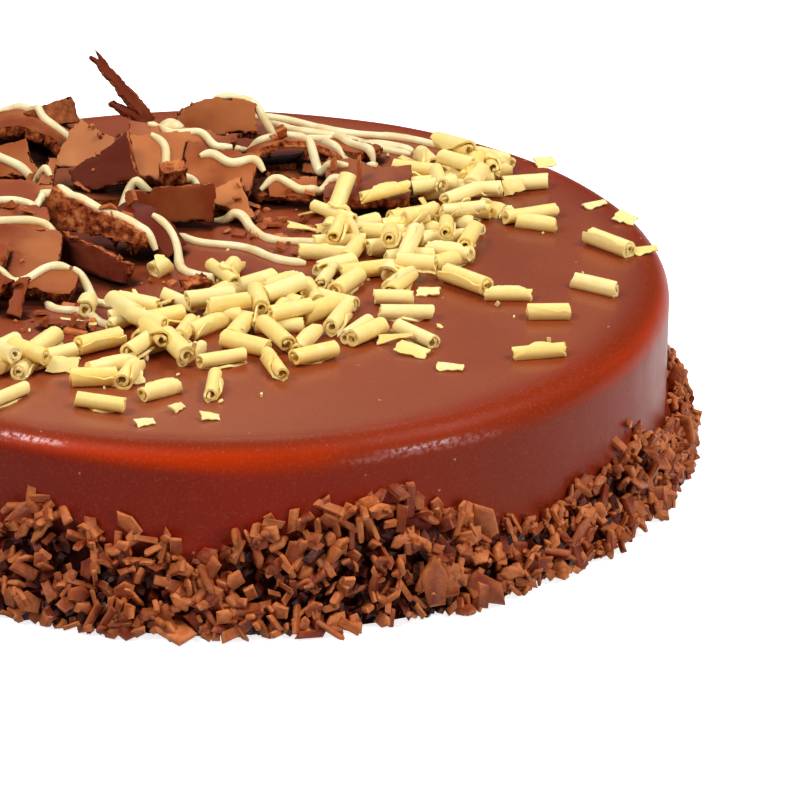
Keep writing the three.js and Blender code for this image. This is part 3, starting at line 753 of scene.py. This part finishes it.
flakes = {
    "inner": 2700, "outer": 3300, "strays": 46, "seed": 11, "variants": 3, "smooth": 55,
    "kinds": [  # length, width, thickness and corners
        (6.2, 4.2, 1.8, 5), (7.0, 3.0, 1.7, 4), (5.0, 3.6, 1.9, 5), (8.4, 1.7, 1.5, 4), (3.8, 2.6, 1.6, 4),
        (11.0, 5.2, 1.8, 5), (6.0, 2.2, 1.4, 4)],
    "shares": [0.2, 0.17, 0.17, 0.19, 0.15, 0.025, 0.095],
    "plain": [(1, 0.83)],  # share of the thickness and growth, level by level
    "rounded": [(0.28, 1.22), (0.44, 1), (0.28, 0.8)],
    "spread": {4: 1.3, 5: 1.15}, "skew": 0.5, "uneven": 0.16, "unevenTop": 0.25,
    "size": (0.58, 1.16), "clear": 0.3, "lying": 0.5, "slope": -0.25, "slopeTurn": 0.5,
    "tone": (0.35, 1.0), "speckle": 0.25, "rim": 0.6, "rimHighlightLevel": 0.68,
    "innerPower": 1.1, "innerTop": 0.74, "innerDepth": (0.4, 0.75), "innerShade": 0.2,
    "outerPower": 1.05, "outerDepth": (0.75, 1.1), "outerLeast": 1.5, "outerSpread": 1.0,
    "outerGaps": (-1.9, -0.3), "gapWaves": [(23, 0.5), (41, -0.7)],  # round the cake and up
    "strayFrom": 0.3, "strayLift": 0.5, "strayRise": 5, "strayTop": 40, "strayOut": 0.5,
    "placed": [  # angle, height, distance from the middle, kind, size, lean and tone
        (-65, 10.5, 132.6, 5, 1.25, 10, 0.6), (-67, 31.5, 126.0, 3, 1.3, -4, 0.5),
        (-83.5, 30, 125.9, 4, 1.1, 35, 0.6), (-81, 30.2, 125.9, 6, 0.7, 5, 0.7),
        (-77, 33, 126.0, 6, 1.0, 0, 0.6), (-74.7, 31.5, 125.9, 4, 0.9, -20, 0.7),
        (-73, 31, 125.9, 4, 1.1, 8, 0.8), (-70, 29.5, 126.0, 2, 1.0, 60, 0.6),
        (-63.3, 28, 126.0, 0, 0.8, 15, 0.65), (-60.7, 24.5, 126.2, 4, 1.2, 70, 0.75),
        (-100, 29, 126.0, 5, 0.7, 50, 0.6)],
}


def makeFlakeKind(size, seed, levels):  # a thin chip with uneven corners
    length, width, thick, corners = size
    clearSelection()
    bpy.ops.mesh.primitive_circle_add(vertices=corners, radius=0.5, fill_type="NGON")
    chip = bpy.context.object
    editFaces(chip)
    spin = chance(seed, 31) * math.tau
    if corners == 4:
        spin = math.pi / 4 + flakes["skew"] * (chance(seed, 31) - 0.5)
    bpy.ops.transform.rotate(value=spin, orient_axis="Z", center_override=(0, 0, 0))
    wide = mm * flakes["spread"][corners] / max(1, levels[0][1])
    bpy.ops.transform.resize(value=(length * wide, width * wide, mm), center_override=(0, 0, 0))
    bpy.ops.transform.vertex_random(offset=width * flakes["uneven"] * mm, seed=seed)
    for share, grow in levels:
        bpy.ops.mesh.extrude_region_move(TRANSFORM_OT_translate={"value": (0, 0, share * thick * mm)})
        bpy.ops.transform.resize(value=(grow, grow, 1), center_override=(0, 0, 0))
    bpy.ops.transform.vertex_random(offset=thick * flakes["unevenTop"] * mm, seed=seed + 1)
    bpy.ops.mesh.select_all(action="SELECT")
    bpy.ops.mesh.normals_make_consistent(inside=False)
    bpy.ops.object.mode_set(mode="OBJECT")
    centre(chip)
    return kindOf(chip)


def flakeSpot(layer, draw):  # angle, height, distance from the middle and tone, or None in a gap
    angle = draw.uniform(-math.pi, math.pi)
    top = bankTop(angle)
    tone = mix(*flakes["tone"], draw.random())
    if layer == "inner":
        z = top * draw.random() ** flakes["innerPower"] * flakes["innerTop"]
        out = bankDepth(angle, z) * draw.uniform(*flakes["innerDepth"])
        # painted shade: inner flakes are darkened, lying in the shade of the outer ones
        return angle, z, cake["radius"] + out, tone * flakes["innerShade"]
    if layer == "outer":
        z = top * draw.random() ** flakes["outerPower"]
        waves = sum(math.sin(often * angle + up * z) for often, up in flakes["gapWaves"])
        if waves < draw.uniform(*flakes["outerGaps"]):
            return None
        out = max(flakes["outerLeast"], bankDepth(angle, z) * draw.uniform(*flakes["outerDepth"]))
        return angle, z, cake["radius"] + out + draw.uniform(0, flakes["outerSpread"]), tone
    while math.sin(bank["handfuls"] * angle) < flakes["strayFrom"]:  # a few above the handfuls
        angle = draw.uniform(-math.pi, math.pi)
    z = bankHeight(angle) + flakes["strayLift"] + flakes["strayRise"] * draw.random() ** 2
    return angle, min(z, flakes["strayTop"]), cake["radius"] + flakes["strayOut"], tone


def flakeTurn(angle, draw):
    if draw.random() < flakes["lying"]:  # on the slope of the bank
        lean = math.pi / 2 + draw.gauss(flakes["slope"], flakes["slopeTurn"])
        spin = turned(0, lean, angle + draw.gauss(0, flakes["slopeTurn"]))
        return spin @ Matrix.Rotation(draw.uniform(0, math.tau), 3, "Z")
    return tumbled(draw)


def onRing(spin, angle, reach, z):  # a placing round the cake
    matrix = spin.to_4x4()
    matrix.translation = (reach * mm * math.cos(angle), reach * mm * math.sin(angle), z)
    return matrix


def makeFlakes():
    draw = random.Random(flakes["seed"])
    sizes, variants = flakes["kinds"], flakes["variants"]
    kinds = [makeFlakeKind(size, i * variants + j + 1, levels)
             for levels in (flakes["plain"], flakes["rounded"])
             for i, size in enumerate(sizes) for j in range(variants)]
    rounded = len(kinds) // 2  # the first of the rounded kinds
    copies = []
    for layer in ["inner"] * flakes["inner"] + ["outer"] * flakes["outer"] + ["stray"] * flakes["strays"]:
        spot = flakeSpot(layer, draw)
        if not spot:
            continue
        angle, z, reach, tone = spot
        kind = draw.choices(range(len(sizes)), flakes["shares"])[0] * variants + draw.randrange(variants)
        if layer != "inner":
            kind += rounded
        spin = flakeTurn(angle, draw)
        spin = spin * draw.uniform(*flakes["size"])
        z = max(z * mm, flakes["clear"] * mm - lowest(kinds[kind], spin))
        copies.append((kind, onRing(spin, angle, reach, z), tone))
    for turn, z, reach, kind, size, lean, tone in flakes["placed"]:
        angle = math.radians(turn)
        spin = turned(0, math.pi / 2, angle) @ Matrix.Rotation(math.radians(lean), 3, "Z")
        copies.append((kind * variants + rounded, onRing(spin * size, angle, reach, z * mm), tone))
    piece = joinCopies("choppedFlakes", kinds, copies, flakes["speckle"], flakes["rim"], flakes["rimHighlightLevel"])
    smoothShade(piece, flakes["smooth"])
    return settle(piece, "chopped_chocolate", "cake")


choppedFlakes = makeFlakes()
print("flakes", len(choppedFlakes.data.polygons), "triangles")


# white chocolate curls

curls = {
    "seed": 5, "length": (14.8, 11), "radius": (2.75, 2.2), "sink": 0.5, "topRadius": 112, "smooth": 45,
    "heapCentre": (-139, 141), "heapRadii": (239, 225), "heapWidth": 27, "heapAngles": (-72, -16),
    "heapCount": 56, "heapHeadings": (-60, 75), "heapSpacing": 6, "heapLift": 3.6,
    "crossing": 70, "tilt": 1.5, "crossingTilt": 7,  # every third of the heap has one lying across it
    "probes": (-0.45, -0.2, 0, 0.2, 0.45),  # shares of the length at which bark is looked for
    "loose": [  # x, y and heading
        (-42, -72, 35), (-27, -77, 35), (-29, -101, -20), (-14, -92, 35), (0, -90, 85), (2, -73, 20),
        (15, -76, -75), (26, -70, 30), (40, -56, 45), (53, -57, -45), (51, -42, 0), (28, -40, 45),
        (26, -28, -75), (10, -20, 35), (36, -22, 60), (79, -28, 0), (89, -41, 0), (103, -22, -35),
        (109, 8, -45), (85, -67, 10), (90, 24, -20), (78, 70, -10), (72, 33, -15), (55, 11, 20)],
    "extras": [  # x, y, lift, heading, pitch and length of those on and among the others
        (88.5, 29.9, 0, 22, 0, 15.5), (67.8, -20.2, 0.6, -45, 0, 15), (48, -31.3, 0, -4, 0, 10.4),
        (33.3, -46.7, 0.6, 72, 0, 15), (37.5, -53.2, 0, 59, 0, 12.8), (24.1, -59.2, 0, 69, 0, 15),
        (16.2, -58.7, 1.3, -67, 0, 15.5), (8, -63.6, 0.6, -33, 0, 14), (-10.1, -67.4, 1.6, -68, 0, 15),
        (3.8, -43.8, 3.8, 12, 4, 11), (11.8, -38, 2.8, -84, 0, 13), (61, 66.7, 2.6, -76, 5, 13),
        (69.1, 57.5, 5.8, -39, 0, 11), (70.5, 7.3, 1.8, 75, 0, 13), (64.5, -1.1, 1.8, -23, 0, 12.3),
        (47.7, 32.3, 6.4, 30, 2, 15.5), (35.3, 32.5, 4.2, 68, 34, 14.5), (-18.7, -68, 1.8, 60, 0, 14),
        (69.2, 31.5, 4.8, 38, 4, 12), (50.1, -20.2, 0.6, 61, 0, 11.8), (80.6, 72.6, 0.6, -36, 0, 13),
        (54.7, -14.1, 2.8, -13, 0, 10.7), (52.9, 18.2, 1.8, 20, 0, 14), (-34, -37, 0.4, 84, 0, 6),
        (62, 44, 3.4, 10, 6, 13), (74, 44, 2.4, -15, 0, 13), (20, -48, 3.2, 28, 0, 12),
        (-30, -62.5, 0.6, 32, 0, 13), (-20, -36, 0.4, -28, 0, 12), (-1, -36, 1.8, 18, 0, 13),
        (4, -45, 1.4, -24, 0, 13), (2, -29, 0.5, 52, 0, 11), (60, 48, 2.2, 12, 0, 14),
        (57, 60, 1.4, -18, 0, 13)],
    "kindLength": 14.5, "kindRadius": 2.25, "sheet": 0.6, "grid": (7, 30),  # a kind, before it is scaled
    "endFrom": 0.3, "endGrow": 5, "endWaves": [(0.35, 9), (0.2, 23)], "endFray": 0.12,
    "flapFrom": 0.1, "flapPower": 1.3, "flapFray": 0.012,
    "kinds": [  # turns, step outwards a turn, depth of the pointed flap, cone
        {"turns": 2.3, "step": 0.72, "flap": 0.05, "cone": 1.0},
        {"turns": 1.9, "step": 0.8, "flap": 0.45, "cone": 0.95},
        {"turns": 2.5, "step": 0.68, "flap": 0.1, "cone": 1.05},
        {"turns": 1.8, "step": 0.9, "flap": 0.7, "cone": 0.9},
        {"turns": 1.6, "step": 0.95, "flap": 0.2, "cone": 1.0},
        {"turns": 2.2, "step": 0.75, "flap": 0.0, "cone": 0.9},
        {"turns": 1.7, "step": 1.05, "flap": 0.3, "cone": 1.1},
    ],
    "rings": [(-14.8, -10.2, 40, 5), (47.7, -13.9, 70, 4), (-25, -46, 20, 5)],  # x, y, heading and width
    "ring": {"turns": 1.15, "step": 0.9, "flap": 0.5, "cone": 0.8}, "ringRadius": 3.3, "ringTilt": 12,
}


def makeCurlKind(kind, seed):  # a roll along X
    clearSelection()
    columns, rows = curls["grid"]
    bpy.ops.mesh.primitive_grid_add(x_subdivisions=columns, y_subdivisions=rows, size=1)
    roll = bpy.context.object
    draw = random.Random(seed)
    grown = kind["step"] * kind["turns"]
    wrap = math.tau * (curls["kindRadius"] - grown / 2) * kind["turns"]
    phase = [draw.uniform(0, math.tau) for _ in range(4)]
    place = points(roll)
    for i, (u, v, _) in enumerate(place.copy()):
        x = u * curls["kindLength"]
        past = abs(u) - curls["endFrom"]
        if past > 0:  # uneven ends
            end = phase[0:2] if u < 0 else phase[2:4]
            waves = sum(high * math.sin(often * v + at) for (high, often), at in zip(curls["endWaves"], end))
            x += past * curls["endGrow"] * waves
        if abs(u) > gridEdge:
            x += draw.uniform(-curls["endFray"], curls["endFray"])
        reach = v * mix(1, kind["cone"], u + 0.5)
        if v > curls["flapFrom"]:
            reach -= kind["flap"] * abs(2 * u) ** curls["flapPower"] * (v - curls["flapFrom"])
        if v > gridEdge:
            reach += draw.uniform(-curls["flapFray"], curls["flapFray"])
        place[i] = (x, -reach * grown, reach * wrap)
    movePoints(roll, place * mm)
    bendPiece(roll, "X", 360 * kind["turns"])
    applyModifier(roll, "SOLIDIFY", thickness=curls["sheet"] * mm, offset=0)
    centre(roll)
    return kindOf(roll)


def heapPlaces():
    loose = curls["loose"]
    places = list(loose)
    i = 0
    while len(places) < len(loose) + curls["heapCount"]:
        along = chance(i, 21)
        angle = math.radians(mix(*curls["heapAngles"], along))
        reach = mix(*curls["heapRadii"], along) + curls["heapWidth"] * (chance(i, 22) + chance(i, 23) - 1)
        x = curls["heapCentre"][0] + reach * math.cos(angle)
        y = curls["heapCentre"][1] + reach * math.sin(angle)
        free = all(math.hypot(px - x, py - y) > curls["heapSpacing"] for px, py, _ in places)
        if free and math.hypot(x, y) < curls["topRadius"]:
            places.append((x, y, mix(*curls["heapHeadings"], math.sqrt(chance(i, 24)))))
        i += 1
    return places[len(loose):]


def overBark(x, y, heading, length):
    run = Vector((math.cos(math.radians(heading)), math.sin(math.radians(heading))))
    along = [Vector((x, y)) + run * length * share for share in curls["probes"]]
    return any(landing(barkTree, spot.x, spot.y) for spot in along)


def rolled(x, y, lift, turn, length, radius):  # a placing that also gives a kind its size
    wide = radius / curls["kindRadius"]
    size = Matrix.Diagonal((length / curls["kindLength"], wide, wide, 1))
    return placing((x, y, cake["height"] + radius - curls["sink"] + lift), turn) @ size


def makeCurls():
    draw = random.Random(curls["seed"])
    kinds = [makeCurlKind(kind, i + 1) for i, kind in enumerate([*curls["kinds"], curls["ring"]])]
    ring = len(kinds) - 1
    heap = heapPlaces()
    laid = [(*place, i, 0) for i, place in enumerate(curls["loose"])]  # seeds and rows as in the solids
    laid += [(*place, 100 + i, 0) for i, place in enumerate(heap)]
    laid += [(x, y, heading + curls["crossing"], 200 + i, curls["heapLift"])
             for i, (x, y, heading) in enumerate(heap[::3])]
    copies = []
    for x, y, heading, seed, lift in laid:
        length = mix(*curls["length"], chance(seed, 11))
        radius = mix(*curls["radius"], chance(seed, 12))
        if overBark(x, y, heading, length):
            continue
        tilt = draw.gauss(0, curls["crossingTilt"] if lift else curls["tilt"])
        matrix = rolled(x, y, lift, (heading, tilt, draw.uniform(0, 360)), length, radius)
        copies.append((draw.randrange(ring), matrix, draw.random()))
    for x, y, lift, heading, pitch, length in curls["extras"]:
        radius = draw.uniform(*curls["radius"])
        matrix = rolled(x, y, lift, (heading, pitch, draw.uniform(0, 360)), length, radius)
        copies.append((draw.randrange(ring), matrix, draw.random()))
    for x, y, heading, width in curls["rings"]:
        turn = (heading, curls["ringTilt"], draw.uniform(0, 360))
        copies.append((ring, rolled(x, y, 0, turn, width, curls["ringRadius"]), draw.random()))
    piece = joinCopies("whiteCurls", kinds, copies)
    smoothShade(piece, curls["smooth"])
    print("curls", len(copies))
    return settle(piece, "white_chocolate", "cake")


whiteCurls = makeCurls()


# flat white chips, and crumbs of both chocolates

chips = {
    "seed": 17, "sheet": 0.5, "bend": 50, "grid": (5, 4), "uneven": 0.35, "smooth": 40,
    "kinds": [  # length, width and taper
        (8.5, 5.0, 0.15), (7.0, 3.4, 0.5), (6.0, 4.6, 0.3), (9.5, 3.0, 0.7), (4.5, 3.0, 0.4)],
    "lean": 0.4, "sway": 0.12, "sink": 0.15,
    "places": [  # x, y, heading and kind
        (107.7, 40.5, 30, 1), (115.3, 28.9, -30, 2), (119.0, 5.6, 20, 1), (51.7, -65.1, -25, 0),
        (61.1, -75.7, -10, 1), (-17.6, -110.4, 20, 4), (-9.4, -101.1, 60, 4), (-1.2, -107.4, 10, 4),
        (95.7, 73.8, 20, 2), (85.8, 53.8, 0, 4), (-39.5, -76.6, 10, 0), (-22.6, -83.8, 15, 0),
        (47.4, -59.0, -15, 3), (81.8, 34.3, 30, 2), (25.2, 21.4, 0, 3), (33.0, 21.4, 0, 3)],
    "scattered": 34, "spread": (5, 6), "tilt": (0.6, 0.5), "scatterSink": 0.2,
    "crumbs": 70, "crumbSpread": 9, "crumbKinds": (1, 2, 2, 2), "crumbSize": (0.4, 0.8), "crumbSink": 0.1,
}
crumbs = {
    "seed": 23,
    "kinds": [  # length, width, thickness and corners
        (4.4, 3.0, 0.9, 4), (3.0, 2.2, 0.8, 5), (1.8, 1.5, 0.8, 4), (7.5, 2.6, 0.8, 4)],
    "shares": [0.26, 0.3, 0.34, 0.1], "size": (0.6, 1.1), "sink": 0.25, "tone": (0.45, 1.0),
    "gather": 0.6, "lean": 0.3, "leanOnBark": 0.9,
    "patches": [  # x, y, spread and count
        (16, 22, 13, 34), (-8, -16, 12, 12), (-44, -42, 12, 22), (30, -34, 3, 3), (-58, 2, 20, 9),
        (-22, 46, 20, 8), (20, 56, 16, 12), (-56, 56, 24, 10), (40, 50, 12, 3), (-30, 4, 9, 5)],
}


def makeChipKind(size, seed):
    length, width, taper = size
    clearSelection()
    columns, rows = chips["grid"]
    bpy.ops.mesh.primitive_grid_add(x_subdivisions=columns, y_subdivisions=rows, size=1)
    chip = bpy.context.object
    draw = random.Random(seed)
    place = points(chip)
    for i, (u, v, _) in enumerate(place.copy()):
        edge = chips["uneven"] if max(abs(u), abs(v)) > gridEdge else 0.0
        wide = width * (1 - taper * (u + 0.5))
        place[i] = (u * length + draw.uniform(-edge, edge), 0, v * wide + draw.uniform(-edge, edge))
    movePoints(chip, place * mm)
    bendPiece(chip, "X", chips["bend"])
    applyModifier(chip, "SOLIDIFY", thickness=chips["sheet"] * mm, offset=0)
    chip.data.transform(Matrix.Rotation(-math.pi / 2, 4, "X"))
    return kindOf(chip)


def dropped(kind, x, y, spin, sink):  # a placing that sets a kind down on what is under it
    matrix = spin.to_4x4()
    matrix.translation = (x * mm, y * mm, (landing(topTree, x, y) - sink) * mm - lowest(kind, spin))
    return matrix


def makeChips():
    draw = random.Random(chips["seed"])
    kinds = [makeChipKind(size, i + 1) for i, size in enumerate(chips["kinds"])]
    bits = [makeFlakeKind(size, i + 60, flakes["plain"]) for i, size in enumerate(crumbs["kinds"])]
    copies = []
    for x, y, heading, kind in chips["places"]:
        lean = draw.gauss(chips["lean"], chips["sway"])
        spin = turned(lean, draw.gauss(0, chips["sway"]), math.radians(heading))
        copies.append((kind, dropped(kinds[kind], x, y, spin, chips["sink"]), draw.random()))
    heap = heapPlaces()
    spreadX, spreadY = chips["spread"]
    tiltX, tiltY = chips["tilt"]
    for _ in range(chips["scattered"]):
        x, y, _ = draw.choice(heap)
        x, y = x + draw.gauss(0, spreadX), y + draw.gauss(0, spreadY)
        if math.hypot(x, y) > curls["topRadius"] or landing(barkTree, x, y):
            continue
        spin = turned(draw.gauss(0, tiltX), draw.gauss(0, tiltY), draw.uniform(0, math.tau))
        kind = draw.randrange(len(kinds))
        copies.append((kind, dropped(kinds[kind], x, y, spin, chips["scatterSink"]), draw.random()))
    for _ in range(chips["crumbs"]):
        x, y, _ = draw.choice(heap + curls["loose"])
        x, y = x + draw.gauss(0, chips["crumbSpread"]), y + draw.gauss(0, chips["crumbSpread"])
        if math.hypot(x, y) > curls["topRadius"]:
            continue
        kind = draw.choice(chips["crumbKinds"])
        spin = tumbled(draw)
        spin = spin * draw.uniform(*chips["crumbSize"])
        matrix = dropped(bits[kind], x, y, spin, chips["crumbSink"])
        copies.append((len(kinds) + kind, matrix, draw.random()))
    piece = joinCopies("whiteChips", kinds + bits, copies)
    smoothShade(piece, chips["smooth"])
    return settle(piece, "white_chocolate")


def makeCrumbs():
    draw = random.Random(crumbs["seed"])
    bits = [makeFlakeKind(size, i + 80, flakes["plain"]) for i, size in enumerate(crumbs["kinds"])]
    copies = []
    for x0, y0, spread, count in crumbs["patches"]:
        for _ in range(count):
            x, y = draw.gauss(x0, spread * crumbs["gather"]), draw.gauss(y0, spread * crumbs["gather"])
            if math.hypot(x, y) > curls["topRadius"]:
                continue
            kind = draw.choices(range(len(bits)), crumbs["shares"])[0]
            lean = crumbs["leanOnBark"] if landing(barkTree, x, y) else crumbs["lean"]
            spin = turned(draw.gauss(0, lean), draw.gauss(0, lean), draw.uniform(0, math.tau))
            spin = spin * draw.uniform(*crumbs["size"])
            matrix = dropped(bits[kind], x, y, spin, crumbs["sink"])
            copies.append((kind, matrix, mix(*crumbs["tone"], draw.random())))
    return settle(joinCopies("brownCrumbs", bits, copies), "chopped_chocolate")


whiteChips = makeChips()
brownCrumbs = makeCrumbs()
print("chips and crumbs", len(whiteChips.data.polygons), len(brownCrumbs.data.polygons))


# white drizzle, laid from above

drizzle = {
    "radius": 1.24, "rise": 0.4, "step": 1.0, "waves": 3, "slope": 1.5, "smooth": 2, "sunk": 0.3,
    "tip": 0.55, "tipStep": 0.25, "thin": 0.92, "beads": 0.22, "beadRun": 4,  # thinner ends, uneven thickness
    "order": 4, "alongSteps": 2, "roundSteps": 3,
    "strands": [  # start, end, sway and, if not 1, thickness
        ((-92, 24), (-48, 11), 2), ((-48, 18), (-16, -2), 0.6), ((-88, 8), (-42, 0), 1.5),
        ((-66, -30), (-39, -22), 1.5), ((-38, -22), (-22, -38), 1.5), ((-45, -31), (-25, -47), -1.5),
        ((-80, -44), (-42, -66), 1.5), ((-90, 70), (-46, 40), 2.5), ((-80, 42), (-46, 28), 2),
        ((-62, 88), (-29, 70), 2), ((-29, 31), (-17, 37), -1), ((-18, 53), (-5, 38), 2),
        ((-19, 70), (8, 71), 1), ((-15, 69), (5, 60), -2), ((8, 71), (38, 50), -2.5),
        ((0, 99), (58, 84), 3), ((10, 114), (66, 88), 1.5), ((12, 98), (56, 87), -1.5),
        ((-4, 50), (14, 47), 1.2), ((13, 44), (38, 42), 2), ((33, 90), (46, 50), -2.5),
        ((0, 29), (34, 5), 2.5), ((-10, 18), (25, -3), -1.5), ((-17, 9), (5, -23), 2.5),
        ((-102, 36), (-66, 34), 2.5), ((-18, 71.5), (-9, 70), 0.2, 1.9), ((16, 108), (57, 81.5), -0.8),
        ((34, 89), (46, 72), 0.5), ((-49, 11), (-47, 18), 0.2)],
}


def layStrand(seed, start, end, sway, thick=1):
    dx, dy = end[0] - start[0], end[1] - start[1]
    length = math.hypot(dx, dy)
    count = round(length / drizzle["step"])
    route = []
    for i in range(count + 1):
        share = i / count
        side = sway * math.sin(drizzle["waves"] * math.pi * share) / length
        x, y = start[0] + dx * share - dy * side, start[1] + dy * share + dx * side
        route.append([x, y, landing(topTree, x, y) + drizzle["rise"] * thick])
    heights = np.array([spot[2] for spot in route])
    fall = drizzle["slope"] * drizzle["step"]
    for order in (range(1, len(route)), range(len(route) - 2, -1, -1)):  # hangs off the edges it crosses
        for i in order:
            before = i - 1 if order.step > 0 else i + 1
            heights[i] = max(heights[i], heights[before] - fall)
    under = heights.copy()
    for _ in range(drizzle["smooth"]):
        heights[1:-1] = (heights[:-2] + 2 * heights[1:-1] + heights[2:]) / 4
    heights = np.maximum(heights, under - drizzle["sunk"])
    clearSelection()
    bpy.ops.curve.primitive_nurbs_path_add()
    strand = bpy.context.object
    spline = strand.data.splines[0]
    spline.points.add(len(route) - len(spline.points))
    for i, (point, (x, y, _), z) in enumerate(zip(spline.points, route, heights)):
        point.co = (x * mm, y * mm, z * mm, 1)
        tip = min(1, drizzle["tip"] + drizzle["tipStep"] * min(i, len(route) - 1 - i))
        bead = drizzle["thin"] + drizzle["beads"] * chance(i // drizzle["beadRun"], seed)
        point.radius = thick * tip * bead
    spline.order_u = drizzle["order"]
    spline.use_endpoint_u = True
    strand.data.resolution_u = drizzle["alongSteps"]
    strand.data.bevel_depth = drizzle["radius"] * mm
    strand.data.bevel_resolution = drizzle["roundSteps"]
    strand.data.use_fill_caps = True
    only(strand)
    bpy.ops.object.convert(target="MESH")
    return bpy.context.object


def makeDrizzle():
    strands = [layStrand(i, *strand) for i, strand in enumerate(drizzle["strands"])]
    clearSelection()
    for strand in strands:
        strand.select_set(True)
    bpy.context.view_layer.objects.active = strands[0]
    bpy.ops.object.join()
    piece = bpy.context.object
    piece.name = "whiteDrizzle"
    bpy.ops.object.shade_smooth()
    return settle(piece, "white_chocolate", finish="drizzle")


whiteDrizzle = makeDrizzle()
print("drizzle", len(whiteDrizzle.data.polygons), "faces")


# camera, light and floor

shot = {"elevation": 24.08, "distance": 1303.2, "yaw": -2.27, "pitch": 0.33, "roll": 0.11, "lens": 210.3,
        "sensor": 36, "far": 20}
lamps = {
    "right": {"at": (0.75, -0.22, 1.05), "size": 0.4, "power": 10.0},
    "left": {"at": (-0.62, -0.42, 1.05), "size": 0.4, "power": 9.4},
    "back": {"at": (0.0, 0.8, 1.0), "size": 0.5, "power": 4.0},
    "front": {"at": (0.92, -0.82, 0.2), "size": 0.3, "power": 3.4},
    "frontLeft": {"at": (-0.92, -0.52, 0.57), "size": 0.25, "power": 1.6},
}
studio = {"world": 0.15, "floor": 6.0, "floorShade": 0.93, "floorRoughness": 0.9, "floorGlow": 0.8}


def makeStudio():
    tilt = math.radians(shot["elevation"])
    back = Vector((0, -math.cos(tilt), math.sin(tilt))) * shot["distance"] * mm
    turn = Matrix.Rotation(math.pi / 2 - tilt, 4, "X")
    for angle, axis in ((shot["yaw"], "Y"), (shot["pitch"], "X"), (-shot["roll"], "Z")):
        turn = turn @ Matrix.Rotation(math.radians(angle), 4, axis)
    clearSelection()
    bpy.ops.object.camera_add()
    camera = bpy.context.object
    camera.matrix_world = Matrix.Translation(back) @ turn
    camera.data.lens = shot["lens"]
    camera.data.sensor_width = shot["sensor"]
    camera.data.clip_end = shot["far"]
    bpy.context.scene.camera = camera
    for name, lamp in lamps.items():
        clearSelection()
        bpy.ops.object.light_add(type="AREA", location=lamp["at"])
        light = bpy.context.object
        light.name = name + "Light"
        light.data.size = lamp["size"]
        light.data.energy = lamp["power"]
        light.rotation_euler = (-Vector(lamp["at"])).to_track_quat("-Z", "Y").to_euler()
    world = bpy.data.worlds.new("studio")
    bpy.context.scene.world = world
    world.use_nodes = True
    world.node_tree.nodes["Background"].inputs[0].default_value = (1, 1, 1, 1)
    world.node_tree.nodes["Background"].inputs[1].default_value = studio["world"]
    clearSelection()
    bpy.ops.mesh.primitive_plane_add(size=studio["floor"])
    floor = bpy.context.object
    floor.name = "floor"
    paint = Finish("paleFloor")
    shade = studio["floorShade"]
    paint.close(Base_Color=(shade, shade, shade, 1), Roughness=studio["floorRoughness"],
                Specular_IOR_Level=0.0, Emission_Color=(1, 1, 1, 1), Emission_Strength=studio["floorGlow"])
    floor.data.materials.append(paint.material)
    floor.visible_diffuse = False  # keeps the floor from lighting the foot from below
    bpy.context.scene.view_settings.view_transform = "Standard"


makeStudio()
print("studio ready")
